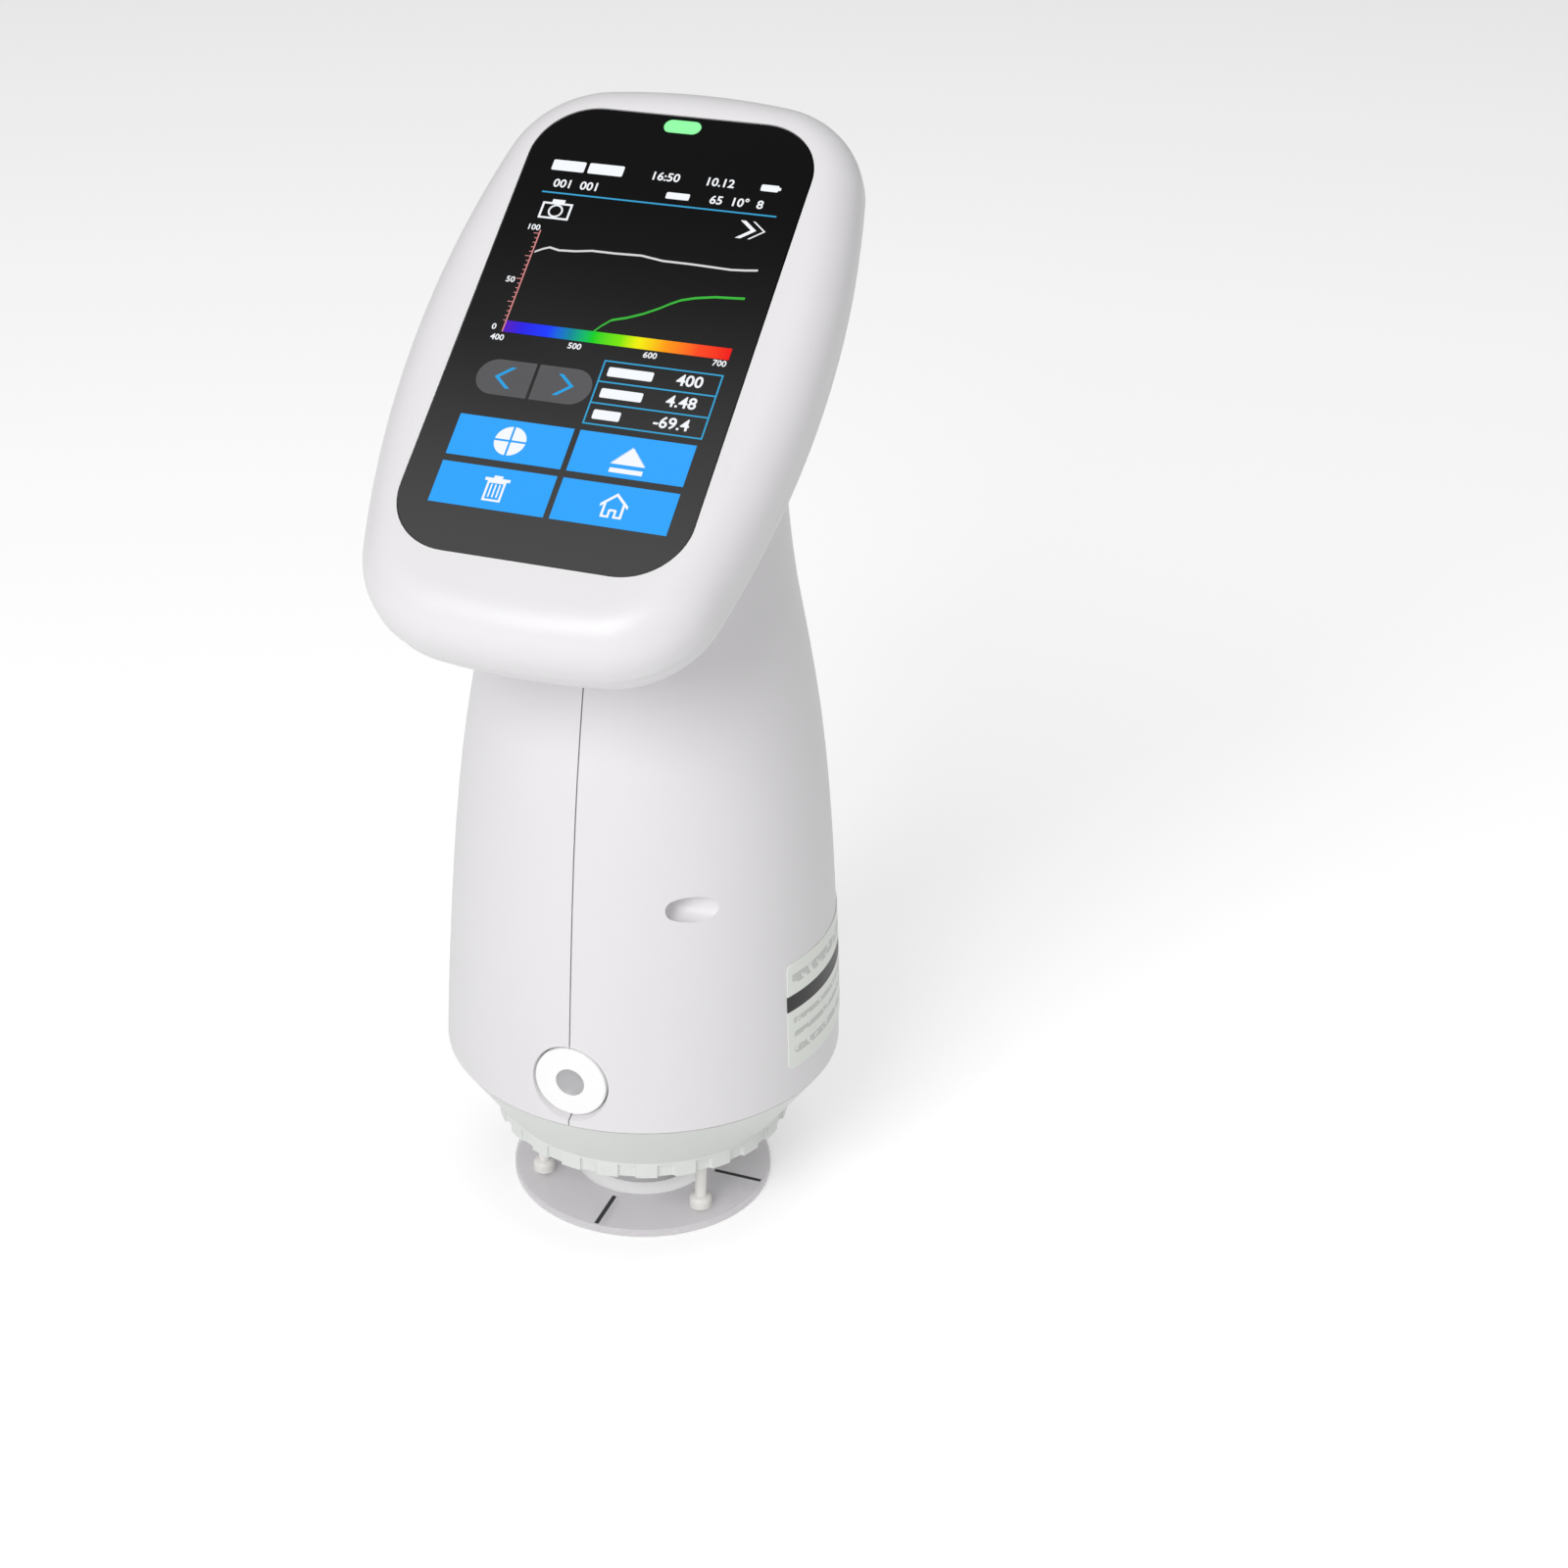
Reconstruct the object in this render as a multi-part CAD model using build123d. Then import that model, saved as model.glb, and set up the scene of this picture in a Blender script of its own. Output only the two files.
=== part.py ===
"""Portable colorimeter: a hand-held body on a sprung locating plate, with a tilted screen head."""
import os
from math import acos, atan2, cos, degrees, radians, sin, sqrt

from build123d import *

# Frame: +Z up, origin on the body axis at the underside of the locating plate, front towards -Y.
# All sizes are in millimetres.

# Fits and gaps
RUNNING_GAP = 0.08
SEAT_GAP = 0.15
PARTING_GAP = 0.25

# Locating plate and its guide pins
PLATE_RADIUS = 26.7
PLATE_THICK = 1.5
PLATE_HOLE_RADIUS = 14.0
PLATE_TRAVEL = 3.0
PIN_X = 17.2
PIN_Y = 12.0
PIN_RADIUS = 1.2
PIN_FOOT_RADIUS = 2.3
PIN_FOOT_HEIGHT = 2.4
PIN_HEAD_RADIUS = 2.3
PIN_HEAD_THICK = 1.2
SPRING_WIRE = 0.7
SPRING_RADIUS = 1.8
SPRING_TURNS = 4

# Twist collar: fluted foot, conical skirt and bayonet groove
COLLAR_FOOT_Z = 16.6
COLLAR_FOOT_RADIUS = 29.9
COLLAR_BAND = 3.4
COLLAR_WALL = 2.4
COLLAR_FLOOR_Z = 22.0
COLLAR_FLOOR = 2.5
COLLAR_EYE_RADIUS = 19.4
FLUTE_COUNT = 24
FLUTE_WIDTH = 3.6
FLUTE_DEPTH = 0.7
POST_RADIUS = 2.4
POST_ORBIT = 23.6
SCREW_RADIUS = 0.9
SCREW_HEAD_RADIUS = 1.7
SCREW_HEAD_THICK = 1.1
RETAINER_Z = 35.5
RETAINER_THICK = 1.6
RETAINER_RADIUS = 27.0

# Fixed base frame with bayonet lugs
TUBE_RADIUS = 29.5
TUBE_WALL = 2.0
TUBE_FOOT_Z = 29.6
LUG_HEIGHT = 2.2
LUG_REACH = 1.5
LUG_ANGLE = 24.0
LUG_COUNT = 3
FRAME_Z = 41.0
FRAME_THICK = 3.0
TWIST_ANGLE = 30.0

# Body shells: radius of the outside at heights above the plate
RIM_Z = 34.0
BODY_PROFILE = ((34.0, 39.7), (54.5, 38.7), (82.0, 36.7), (109.0, 33.3), (127.0, 29.8))
BODY_FOOT_SLOPE = -0.03
BODY_TOP_SLOPE = -0.215
BODY_WALL = 2.2
NECK_HALF_WIDTH = 24.5
NECK_HALF_LENGTH = 30.0
NECK_CENTRE_V = 8.0
NECK_OVERLAP = 1.0
ROUND_ROWS = 14
NECK_ROWS = 12
PATCH_STEPS = 24
PATCH_TOLERANCE = 0.004
SHELL_SCREW_ORBIT = 32.6
SHELL_SCREW_ANGLES = (35.0, 145.0, 215.0, 325.0)
SHELL_BOSS_RADIUS = 2.8
SHELL_BOSS_HEIGHT = 9.0
SEAM_GAP = 0.25

# Measure key at the front, on the seam
KEY_Z = 43.3
KEY_RADIUS = 7.3
KEY_RING_RADIUS = 8.2
KEY_FACE_Y = -38.8
KEY_THICK = 2.4
KEY_FLANGE_RADIUS = 8.5
KEY_FLANGE_THICK = 1.0
KEY_STEM_RADIUS = 2.6
KEY_DIMPLE_RADIUS = 2.9
KEY_DIMPLE_DEPTH = 0.9
KEY_TRAVEL = 0.8
KEY_BOARD_Y = -31.6

# Scoop and label on the right side
SCOOP_Z = 81.1
SCOOP_ANGLE = 35.0
SCOOP_RADIUS = 2.6
SCOOP_LENGTH = 9.0
SCOOP_DIP = 28.0
SCOOP_SHIFT = (1.2, -0.4)
SCOOP_WALL = 1.3
LABEL_LOW_Z = 40.5
LABEL_HIGH_Z = 63.5
LABEL_START_ANGLE = 66.5
LABEL_SWEEP = 56.0
LABEL_THICK = 0.2
LABEL_GAP = 0.02
LABEL_CORNER = 1.5

# Aperture nose and optics
NOSE_TIP_Z = PLATE_TRAVEL
NOSE_TIP_RADIUS = 12.6
NOSE_TIP_HEIGHT = 1.9
NOSE_CONE_RADIUS = 17.2
NOSE_CONE_Z = 7.6
NOSE_TUBE_RADIUS = 18.3
NOSE_TUBE_Z = 12.0
NOSE_WALL = 1.4
NOSE_FLANGE_RADIUS = 24.5
NOSE_FLANGE_THICK = 1.8
WINDOW_RADIUS = 5.1
WINDOW_THICK = 0.7
BARREL_RADIUS = 6.0
BARREL_BORE = 4.5
BARREL_FLANGE_RADIUS = 19.8
BARREL_FLANGE_THICK = 2.0
LENS_BALL_RADIUS = 7.0
LENS_THICK = 4.0
APERTURE_RADIUS = 4.0
SPHERE_RADIUS = 15.0
SPHERE_WALL = 1.6
DETECTOR_PORT_RADIUS = 3.0
SOURCE_PORT_RADIUS = 1.5
SOURCE_ORBIT = 8.5
SOURCE_COUNT = 6

# Screen head
HEAD_TILT = 36.9
HEAD_Y = -18.1
HEAD_Z = 186.0
HEAD_HALF_WIDTH = 38.2
HEAD_TOP = 56.8
HEAD_CHIN = 62.8
HEAD_SIDE_BULGE = 195.0
HEAD_END_BULGE = 130.0
HEAD_CORNER = 20.0
BEZEL_DEPTH = 10.5
BEZEL_ROUND = 8.5
COVER_DEPTH = 8.5
COVER_ROUND = 7.0
COVER_INSET = 0.6
HEAD_WALL = 2.2
GLASS_HALF_WIDTH = 27.0
GLASS_HALF_LENGTH = 47.5
GLASS_CORNER = 11.6
GLASS_THICK = 1.1
GLASS_LEDGE = 2.4
GLASS_GAP = 0.12
GASKET_THICK = 0.25
DISPLAY_WIDTH = 50.4
DISPLAY_LENGTH = 83.0
DISPLAY_THICK = 2.6
DISPLAY_V = -0.6
LAMP_LENGTH = 7.0
LAMP_WIDTH = 2.9
LAMP_V = 45.1
BOARD_THICK = 1.2
BOARD_HALF_U = 24.8
BOARD_LOW_V = -44.0
BOARD_HIGH_V = 48.0
BOARD_N = -8.0
HEAD_SCREW_U = 28.8
HEAD_SCREW_V = (-43.0, 37.0)
HEAD_SCREW_HEAD = 2.0
HEAD_SCREW_N = -15.5
HEAD_BOSS_RADIUS = 2.8
CHIP_BLOCKS = (
    ((-9.0, -12.0), (5.0, 2.0), 1.6),
    ((8.0, -10.0), (18.0, -2.0), 1.2),
    ((-20.0, 8.0), (-11.0, 16.0), 1.4),
    ((-6.0, 12.0), (14.0, 18.0), 2.2),
)
BUZZER_RADIUS = 5.0
BUZZER_HEIGHT = 2.6
BUZZER_PLACE = (-16.0, -24.0)

# Battery, spine and boards in the body
BATTERY_SIZE = (34.0, 18.0, 52.0)
BATTERY_Z = 84.0
SPINE_Y = 8.0
SPINE_WIDTH = 36.0
SPINE_THICK = 2.0
SPINE_TOP_Z = 142.0
SPECTRO_SIZE = (32.0, 22.0, 24.0)
PORT_Z = 52.0
PORT_WIDTH = 9.2
PORT_HEIGHT = 3.4
PORT_FACE_Y = 36.6
PORT_BOARD_HALF = 9.0
PORT_BOARD_END = 34.4


HEAD_NORMAL = (0.0, -sin(radians(HEAD_TILT)), cos(radians(HEAD_TILT)))
HEAD_PLANE = Plane(origin=(0, HEAD_Y, HEAD_Z), x_dir=(1, 0, 0), z_dir=HEAD_NORMAL)
COVER_BACK_N = -(BEZEL_DEPTH + PARTING_GAP + COVER_DEPTH)
COLLAR_TOP_Z = RIM_Z - PARTING_GAP
RIM_RADIUS = BODY_PROFILE[0][1]
FRAME_TOP_Z = FRAME_Z + FRAME_THICK
SPHERE_Z = NOSE_TIP_Z + NOSE_WALL + SPHERE_WALL + SPHERE_RADIUS
SOURCE_BOARD_Z = SPHERE_Z + SPHERE_RADIUS + SPHERE_WALL + 0.2
BARREL_LOW_Z = SOURCE_BOARD_Z + BOARD_THICK
BARREL_HIGH_Z = FRAME_TOP_Z + 8.0
WINDOW_Z = NOSE_TIP_Z + 0.6
SWITCH_FRONT_Y = KEY_BOARD_Y - 1.7


def cylinder_between(radius, low, high, centre=(0.0, 0.0)):
    """Upright cylinder from one height to another."""
    return Pos(centre[0], centre[1], (low + high) / 2) * Cylinder(radius, high - low)


def ring_between(outer, inner, low, high):
    """Upright ring from one height to another."""
    return cylinder_between(outer, low, high) - cylinder_between(inner, low - 1, high + 1)


def box_between(low, high):
    """Box given by its lowest and highest corners."""
    size = [b - a for a, b in zip(low, high)]
    middle = [(a + b) / 2 for a, b in zip(low, high)]
    return Pos(*middle) * Box(*size)


def turned(points):
    """Solid of revolution about Z from a closed outline of (radius, height) points."""
    outline = Polyline(*[(r, 0, z) for r, z in points], close=True)
    return revolve(make_face(outline), Axis.Z)


def in_head(solid):
    """Place a solid that is modelled in the head's own plane."""
    return HEAD_PLANE.location * solid


def around(count, orbit, phase=0.0):
    """Centres of a ring of equally spaced places."""
    angles = [radians(phase + 360.0 * k / count) for k in range(count)]
    return [(orbit * cos(a), orbit * sin(a)) for a in angles]


def pin_places():
    """Centres of the four guide pins."""
    return [(x, y) for x in (-PIN_X, PIN_X) for y in (-PIN_Y, PIN_Y)]


def shell_screw_places():
    """Centres of the screws that hold the body shells."""
    angles = [radians(angle) for angle in SHELL_SCREW_ANGLES]
    return [(SHELL_SCREW_ORBIT * cos(a), SHELL_SCREW_ORBIT * sin(a)) for a in angles]


def head_screw_places():
    """Centres of the head's four screws in its own plane."""
    return [(u, v) for u in (-HEAD_SCREW_U, HEAD_SCREW_U) for v in HEAD_SCREW_V]


def body_radius(z):
    """Outside radius of the body at a height, by straight steps of its profile."""
    for (z0, r0), (z1, r1) in zip(BODY_PROFILE, BODY_PROFILE[1:]):
        if z <= z1:
            return r0 + (r1 - r0) * (z - z0) / (z1 - z0)
    return BODY_PROFILE[-1][1]


def profile_curve(grow):
    """Curved outline of the body's round lower part, moved out by a distance."""
    points = [(r + grow, 0, z) for z, r in BODY_PROFILE]
    return Spline(*points, tangents=[(BODY_FOOT_SLOPE, 0, 1), (BODY_TOP_SLOPE, 0, 1)])


def body_rows(grow):
    """Sections up the body, grown by a distance: plane, half width and half length of each."""
    curve = profile_curve(grow)
    rows = []
    for k in range(ROUND_ROWS):
        place = curve @ (k / ROUND_ROWS)
        rows.append((Plane(origin=(0, 0, place.Z)), place.X, place.X))
    z_low, r_low = BODY_PROFILE[-1]
    end = HEAD_PLANE.from_local_coords(Vector(0, NECK_CENTRE_V, COVER_BACK_N + HEAD_WALL))
    rise = end.Z - z_low
    for k in range(NECK_ROWS + 1):
        s = k / NECK_ROWS
        bend = s * s * (3 - 2 * s)
        flow = BODY_TOP_SLOPE * rise * s * (1 - s) ** 2
        tilt = radians(HEAD_TILT) * s**1.6
        width = r_low + (NECK_HALF_WIDTH - r_low) * bend + flow
        length = r_low + (NECK_HALF_LENGTH - r_low) * bend + flow
        centre = (0, end.Y * s, z_low + rise * s)
        plane = Plane(origin=centre, x_dir=(1, 0, 0), z_dir=(0, -sin(tilt), cos(tilt)))
        rows.append((plane, width + grow, length + grow))
    return rows


def body_patch(grow, side, seam_x, rows=None):
    """Curved face of one body half, ending on the plane x = side * seam_x at front and back."""
    grid = []
    for plane, width, length in rows or body_rows(grow):
        limit = acos(seam_x / width)
        turns = [limit * (2 * k / PATCH_STEPS - 1) for k in range(PATCH_STEPS + 1)]
        spots = [(side * width * cos(t), length * sin(t), 0) for t in turns]
        grid.append([plane.from_local_coords(Vector(*spot)) for spot in spots])
    return Face.make_surface_from_array_of_points(grid, tol=PATCH_TOLERANCE)


def patch_edges(patch):
    """Bottom, top, front and back edge of a body patch."""
    ordered = patch.edges().sort_by(Axis.Z)
    front, back = ordered[1:3].sort_by(Axis.Y)
    return ordered[0], ordered[-1], front, back


def body_half(grow, side, seam_x=0.0, first=0):
    """Solid half of the body's outside form, grown by a distance, from one of its rows up."""
    patch = body_patch(grow, side, seam_x, body_rows(grow)[first:])
    bottom, top, front, back = patch_edges(patch)
    low = Line(bottom @ 0, bottom @ 1)
    high = Line(top @ 0, top @ 1)
    faces = [patch]
    for outline in ([bottom, low], [top, high], [front, back, low, high]):
        faces += make_face(outline).faces()
    return Solid(Shell(faces))


def body_wall(side):
    """Wall of one body half between its outer and its inner face."""
    outer = body_patch(0.0, side, SEAM_GAP / 2)
    inner = body_patch(-BODY_WALL, side, SEAM_GAP / 2)
    faces = [outer, inner]
    for one, other in zip(patch_edges(outer), patch_edges(inner)):
        first = Line(one @ 0, other @ 0)
        last = Line(one @ 1, other @ 1)
        faces += make_face([one, other, first, last]).faces()
    return Solid(Shell(faces))


def head_outline(inset=0.0):
    """Barrel-sided outline of the head in its own plane, drawn in by an inset."""
    side = Circle(HEAD_SIDE_BULGE - inset)
    end = Circle(HEAD_END_BULGE - inset)
    reach = HEAD_SIDE_BULGE - HEAD_HALF_WIDTH
    outline = (Pos(-reach, 0) * side) & (Pos(reach, 0) * side)
    outline = outline & (Pos(0, HEAD_TOP - HEAD_END_BULGE) * end)
    outline = outline & (Pos(0, HEAD_END_BULGE - HEAD_CHIN) * end)
    return fillet(outline.vertices(), HEAD_CORNER - inset)


def head_slab(inset, low, high):
    """Slab of the head's outline between two depths."""
    return Pos(0, 0, low) * extrude(head_outline(inset), high - low)


def rounded_slab(half_width, half_length, corner, low, high, v=0.0):
    """Rounded rectangle slab in the head's plane."""
    outline = RectangleRounded(2 * half_width, 2 * half_length, corner)
    return Pos(0, v, low) * extrude(outline, high - low)


def screw(length, head_radius=SCREW_HEAD_RADIUS):
    """Pan head screw along +Z with its head below z = 0 and a cross recess in it."""
    body = cylinder_between(SCREW_RADIUS, 0, length)
    head = fillet(cylinder_between(head_radius, -SCREW_HEAD_THICK, 0).edges().sort_by(Axis.Z)[0], 0.4)
    arm = head_radius * 1.1
    recess = Pos(0, 0, -SCREW_HEAD_THICK) * (Box(arm, 0.4, 1.0) + Box(0.4, arm, 1.0))
    return body + head - recess


def locating_plate():
    """Clear disc that rests on the sample, with the hole for the nose and the seats of the pins."""
    plate = ring_between(PLATE_RADIUS, PLATE_HOLE_RADIUS, 0, PLATE_THICK)
    plate = chamfer(plate.edges().filter_by(GeomType.CIRCLE).group_by(Axis.Z)[-1], 0.3)
    for place in pin_places():
        plate -= cylinder_between(PIN_RADIUS, -1, PLATE_THICK + 1, place)
    return plate


def guide_pin():
    """One guide pin with its rounded foot on the plate and its head above the collar's floor."""
    head_z = COLLAR_FLOOR_Z + COLLAR_FLOOR
    foot = cylinder_between(PIN_FOOT_RADIUS, PLATE_THICK, PLATE_THICK + PIN_FOOT_HEIGHT)
    foot = fillet(foot.edges().group_by(Axis.Z)[-1], 1.0)
    shaft = cylinder_between(PIN_RADIUS, 0, head_z + PIN_HEAD_THICK)
    head = cylinder_between(PIN_HEAD_RADIUS, head_z, head_z + PIN_HEAD_THICK)
    return foot + shaft + head


def guide_pins():
    """The four guide pins."""
    return Compound(children=[Pos(x, y, 0) * guide_pin() for x, y in pin_places()])


def plate_spring():
    """One compression spring between a pin's head and the retainer ring."""
    low = COLLAR_FLOOR_Z + COLLAR_FLOOR + PIN_HEAD_THICK
    high = RETAINER_Z
    rise = high - low - SPRING_WIRE
    path = Helix(pitch=rise / SPRING_TURNS, height=rise, radius=SPRING_RADIUS - SPRING_WIRE / 2)
    section = Plane(origin=path @ 0, z_dir=path % 0) * Circle(SPRING_WIRE / 2)
    return Pos(0, 0, low + SPRING_WIRE / 2) * sweep(section, path=path, is_frenet=True)


def plate_springs():
    """The four plate springs."""
    return Compound(children=[Pos(x, y, 0) * plate_spring() for x, y in pin_places()])


def collar_outside(z):
    """Outside radius of the collar's cone at a height."""
    low = COLLAR_FOOT_Z + COLLAR_BAND
    share = (z - low) / (RIM_Z - low)
    return COLLAR_FOOT_RADIUS + (RIM_RADIUS - COLLAR_FOOT_RADIUS) * max(0.0, share)


def twist_collar():
    """Fluted conical collar that carries the pins and locks on the base frame by a bayonet."""
    bore = TUBE_RADIUS + RUNNING_GAP
    floor_top = COLLAR_FLOOR_Z + COLLAR_FLOOR
    band_top = COLLAR_FOOT_Z + COLLAR_BAND
    top_radius = collar_outside(COLLAR_TOP_Z)
    inner_foot = COLLAR_FOOT_RADIUS - COLLAR_WALL
    body = turned([
        (inner_foot, COLLAR_FOOT_Z), (COLLAR_FOOT_RADIUS, COLLAR_FOOT_Z),
        (COLLAR_FOOT_RADIUS, band_top), (top_radius, COLLAR_TOP_Z), (bore, COLLAR_TOP_Z),
        (bore, floor_top), (COLLAR_EYE_RADIUS, floor_top), (COLLAR_EYE_RADIUS, COLLAR_FLOOR_Z),
        (inner_foot, COLLAR_FLOOR_Z),
    ])
    pocket_in = bore + LUG_REACH + COLLAR_WALL
    pocket_low = floor_top + 3.0
    pocket_wall = COLLAR_WALL * 1.2
    body -= turned([
        (pocket_in, COLLAR_TOP_Z + 1), (pocket_in, pocket_low + 2.5),
        (collar_outside(pocket_low + 3.0) - pocket_wall, pocket_low + 2.5),
        (top_radius - pocket_wall, COLLAR_TOP_Z + 1),
    ])
    groove = LUG_HEIGHT + 2 * SEAT_GAP
    groove_low = TUBE_FOOT_Z - SEAT_GAP
    groove_radius = TUBE_RADIUS + LUG_REACH + SEAT_GAP
    body -= ring_between(groove_radius, bore - 1, groove_low, groove_low + groove)
    reach = LUG_REACH + SEAT_GAP
    for place in range(LUG_COUNT):
        body -= lug(place, groove_low, COLLAR_TOP_Z + 1, LUG_ANGLE + 2, reach, TWIST_ANGLE)
    for x, y in around(FLUTE_COUNT, COLLAR_FOOT_RADIUS, 90):
        turn = degrees(atan2(y, x))
        flute = Box(2 * FLUTE_DEPTH, FLUTE_WIDTH, COLLAR_BAND * 0.86)
        flute = fillet(flute.edges().filter_by(Axis.Z).group_by(Axis.X)[0], FLUTE_DEPTH * 0.8)
        body -= Pos(x, y, COLLAR_FOOT_Z + COLLAR_BAND * 0.43) * Rot(0, 0, turn) * flute
    for place in pin_places():
        body -= cylinder_between(PIN_RADIUS + RUNNING_GAP, COLLAR_FLOOR_Z - 1, floor_top + 1, place)
    for x, y in around(4, POST_ORBIT):
        post = cylinder_between(POST_RADIUS, floor_top - 0.5, RETAINER_Z, (x, y))
        body += post
        body -= cylinder_between(SCREW_RADIUS, RETAINER_Z - 6, RETAINER_Z + 1, (x, y))
    return body


def lug(place, low, high, sweep_angle, reach, turn):
    """Sector of a ring on the tube's outside, one of the set of bayonet lugs."""
    ring = ring_between(TUBE_RADIUS + reach, TUBE_RADIUS - 0.5, low, high)
    middle = 360.0 * place / LUG_COUNT + 90 + turn
    far = 2 * TUBE_RADIUS
    spread = radians(sweep_angle / 2)
    x, y = far * cos(spread), far * sin(spread)
    wedge = Polyline((0, 0), (x, -y), (x, y), close=True)
    sector = Pos(0, 0, low - 1) * extrude(make_face(wedge), high - low + 2)
    return ring & (Rot(0, 0, middle) * sector)


def retainer_ring():
    """Ring over the plate springs, screwed to the collar's posts."""
    ring = ring_between(RETAINER_RADIUS, COLLAR_EYE_RADIUS, RETAINER_Z, RETAINER_Z + RETAINER_THICK)
    hole = SCREW_RADIUS + SEAT_GAP
    for place in around(4, POST_ORBIT):
        ring -= cylinder_between(hole, RETAINER_Z - 1, RETAINER_Z + RETAINER_THICK + 1, place)
    return ring


def retainer_screws():
    """Four screws through the retainer ring into the posts."""
    top = RETAINER_Z + RETAINER_THICK
    places = around(4, POST_ORBIT)
    return Compound(children=[Pos(x, y, top) * Rot(180, 0, 0) * screw(6.0) for x, y in places])


def base_frame():
    """Fixed floor of the body with the bayonet tube and its lugs under it."""
    inner = TUBE_RADIUS - TUBE_WALL
    edge = body_radius(FRAME_Z) - BODY_WALL - SEAT_GAP
    frame = ring_between(edge, NOSE_TUBE_RADIUS + SEAT_GAP, FRAME_Z, FRAME_TOP_Z)
    frame += ring_between(TUBE_RADIUS, inner, TUBE_FOOT_Z, FRAME_Z + 0.5)
    for place in range(LUG_COUNT):
        frame += lug(place, TUBE_FOOT_Z, TUBE_FOOT_Z + LUG_HEIGHT, LUG_ANGLE, LUG_REACH, 0.0)
    notch = KEY_FLANGE_RADIUS + 1.5
    frame -= box_between((-notch, -edge - 5, FRAME_Z - 1), (notch, KEY_BOARD_Y + 1.6, FRAME_TOP_Z + 1))
    for place in shell_screw_places():
        frame -= cylinder_between(SCREW_RADIUS + SEAT_GAP, FRAME_Z - 1, FRAME_TOP_Z + 1, place)
    for place in around(4, NOSE_FLANGE_RADIUS - 2.2, 45):
        frame -= cylinder_between(SCREW_RADIUS, FRAME_Z - 1, FRAME_TOP_Z + 1, place)
    return frame


def aperture_nose():
    """Stepped nose with the measuring aperture at its tip and a flange on the base frame."""
    top = FRAME_TOP_Z + NOSE_FLANGE_THICK
    bore = NOSE_TUBE_RADIUS - NOSE_WALL
    nose = turned([
        (APERTURE_RADIUS, NOSE_TIP_Z), (NOSE_TIP_RADIUS, NOSE_TIP_Z),
        (NOSE_TIP_RADIUS, NOSE_TIP_Z + NOSE_TIP_HEIGHT), (NOSE_CONE_RADIUS, NOSE_CONE_Z),
        (NOSE_TUBE_RADIUS, NOSE_TUBE_Z), (NOSE_TUBE_RADIUS, FRAME_TOP_Z),
        (NOSE_FLANGE_RADIUS, FRAME_TOP_Z),
        (NOSE_FLANGE_RADIUS, top), (APERTURE_RADIUS, top),
    ])
    nose -= Pos(0, 0, SPHERE_Z) * Sphere(SPHERE_RADIUS + SPHERE_WALL)
    nose -= cylinder_between(SPHERE_RADIUS + SPHERE_WALL, SPHERE_Z, top + 1)
    nose -= cylinder_between(WINDOW_RADIUS + 0.1, WINDOW_Z, SPHERE_Z)
    rims = nose.edges().filter_by(GeomType.CIRCLE).group_by(Axis.Z)[0]
    nose = fillet(rims.sort_by(SortBy.RADIUS)[-1], 0.5)
    for place in around(4, NOSE_FLANGE_RADIUS - 2.2, 45):
        nose -= cylinder_between(SCREW_RADIUS + SEAT_GAP, FRAME_TOP_Z - 1, top + 1, place)
    return nose


def nose_screws():
    """Four screws that hold the nose's flange on the base frame."""
    top = FRAME_TOP_Z + NOSE_FLANGE_THICK
    places = around(4, NOSE_FLANGE_RADIUS - 2.2, 45)
    return Compound(children=[Pos(x, y, top) * Rot(180, 0, 0) * screw(4.5) for x, y in places])


def sphere_half(upper):
    """One half of the integrating sphere."""
    outer = SPHERE_RADIUS + SPHERE_WALL - 0.03
    shell = Pos(0, 0, SPHERE_Z) * (Sphere(outer) - Sphere(SPHERE_RADIUS))
    reach = outer + 1
    if upper:
        half = shell & box_between((-reach, -reach, SPHERE_Z), (reach, reach, SPHERE_Z + reach))
        half -= cylinder_between(DETECTOR_PORT_RADIUS, SPHERE_Z, SPHERE_Z + reach)
        for place in around(SOURCE_COUNT, SOURCE_ORBIT):
            half -= cylinder_between(SOURCE_PORT_RADIUS, SPHERE_Z, SPHERE_Z + reach, place)
        return half
    half = shell & box_between((-reach, -reach, SPHERE_Z - reach), (reach, reach, SPHERE_Z))
    return half - cylinder_between(APERTURE_RADIUS + 0.5, SPHERE_Z - reach, SPHERE_Z)


def source_board():
    """Round board over the sphere that carries the light sources."""
    radius = SPHERE_RADIUS + SPHERE_WALL - 0.25
    top = SOURCE_BOARD_Z + BOARD_THICK
    return ring_between(radius, DETECTOR_PORT_RADIUS + 1.2, SOURCE_BOARD_Z, top)


def source_lamps():
    """Light sources under the round board, each over its own port."""
    depth = SPHERE_RADIUS + SPHERE_WALL
    low = SPHERE_Z + sqrt(depth**2 - (SOURCE_ORBIT - 1.5) ** 2) + 0.1
    lamps = []
    for x, y in around(SOURCE_COUNT, SOURCE_ORBIT):
        lamps.append(Pos(x, y, (low + SOURCE_BOARD_Z) / 2) * Box(2.0, 2.0, SOURCE_BOARD_Z - low))
    return Compound(children=lamps)


def aperture_window():
    """Clear disc that closes the aperture under the sphere."""
    return cylinder_between(WINDOW_RADIUS, WINDOW_Z, WINDOW_Z + WINDOW_THICK)


def lens_barrel():
    """Barrel that carries the sensing lens from the sphere up to the spectral sensor."""
    barrel = ring_between(BARREL_RADIUS, BARREL_BORE, BARREL_LOW_Z, BARREL_HIGH_Z)
    flange_z = FRAME_TOP_Z + NOSE_FLANGE_THICK
    return barrel + ring_between(
        BARREL_FLANGE_RADIUS, BARREL_RADIUS - 1, flange_z, flange_z + BARREL_FLANGE_THICK)


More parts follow.
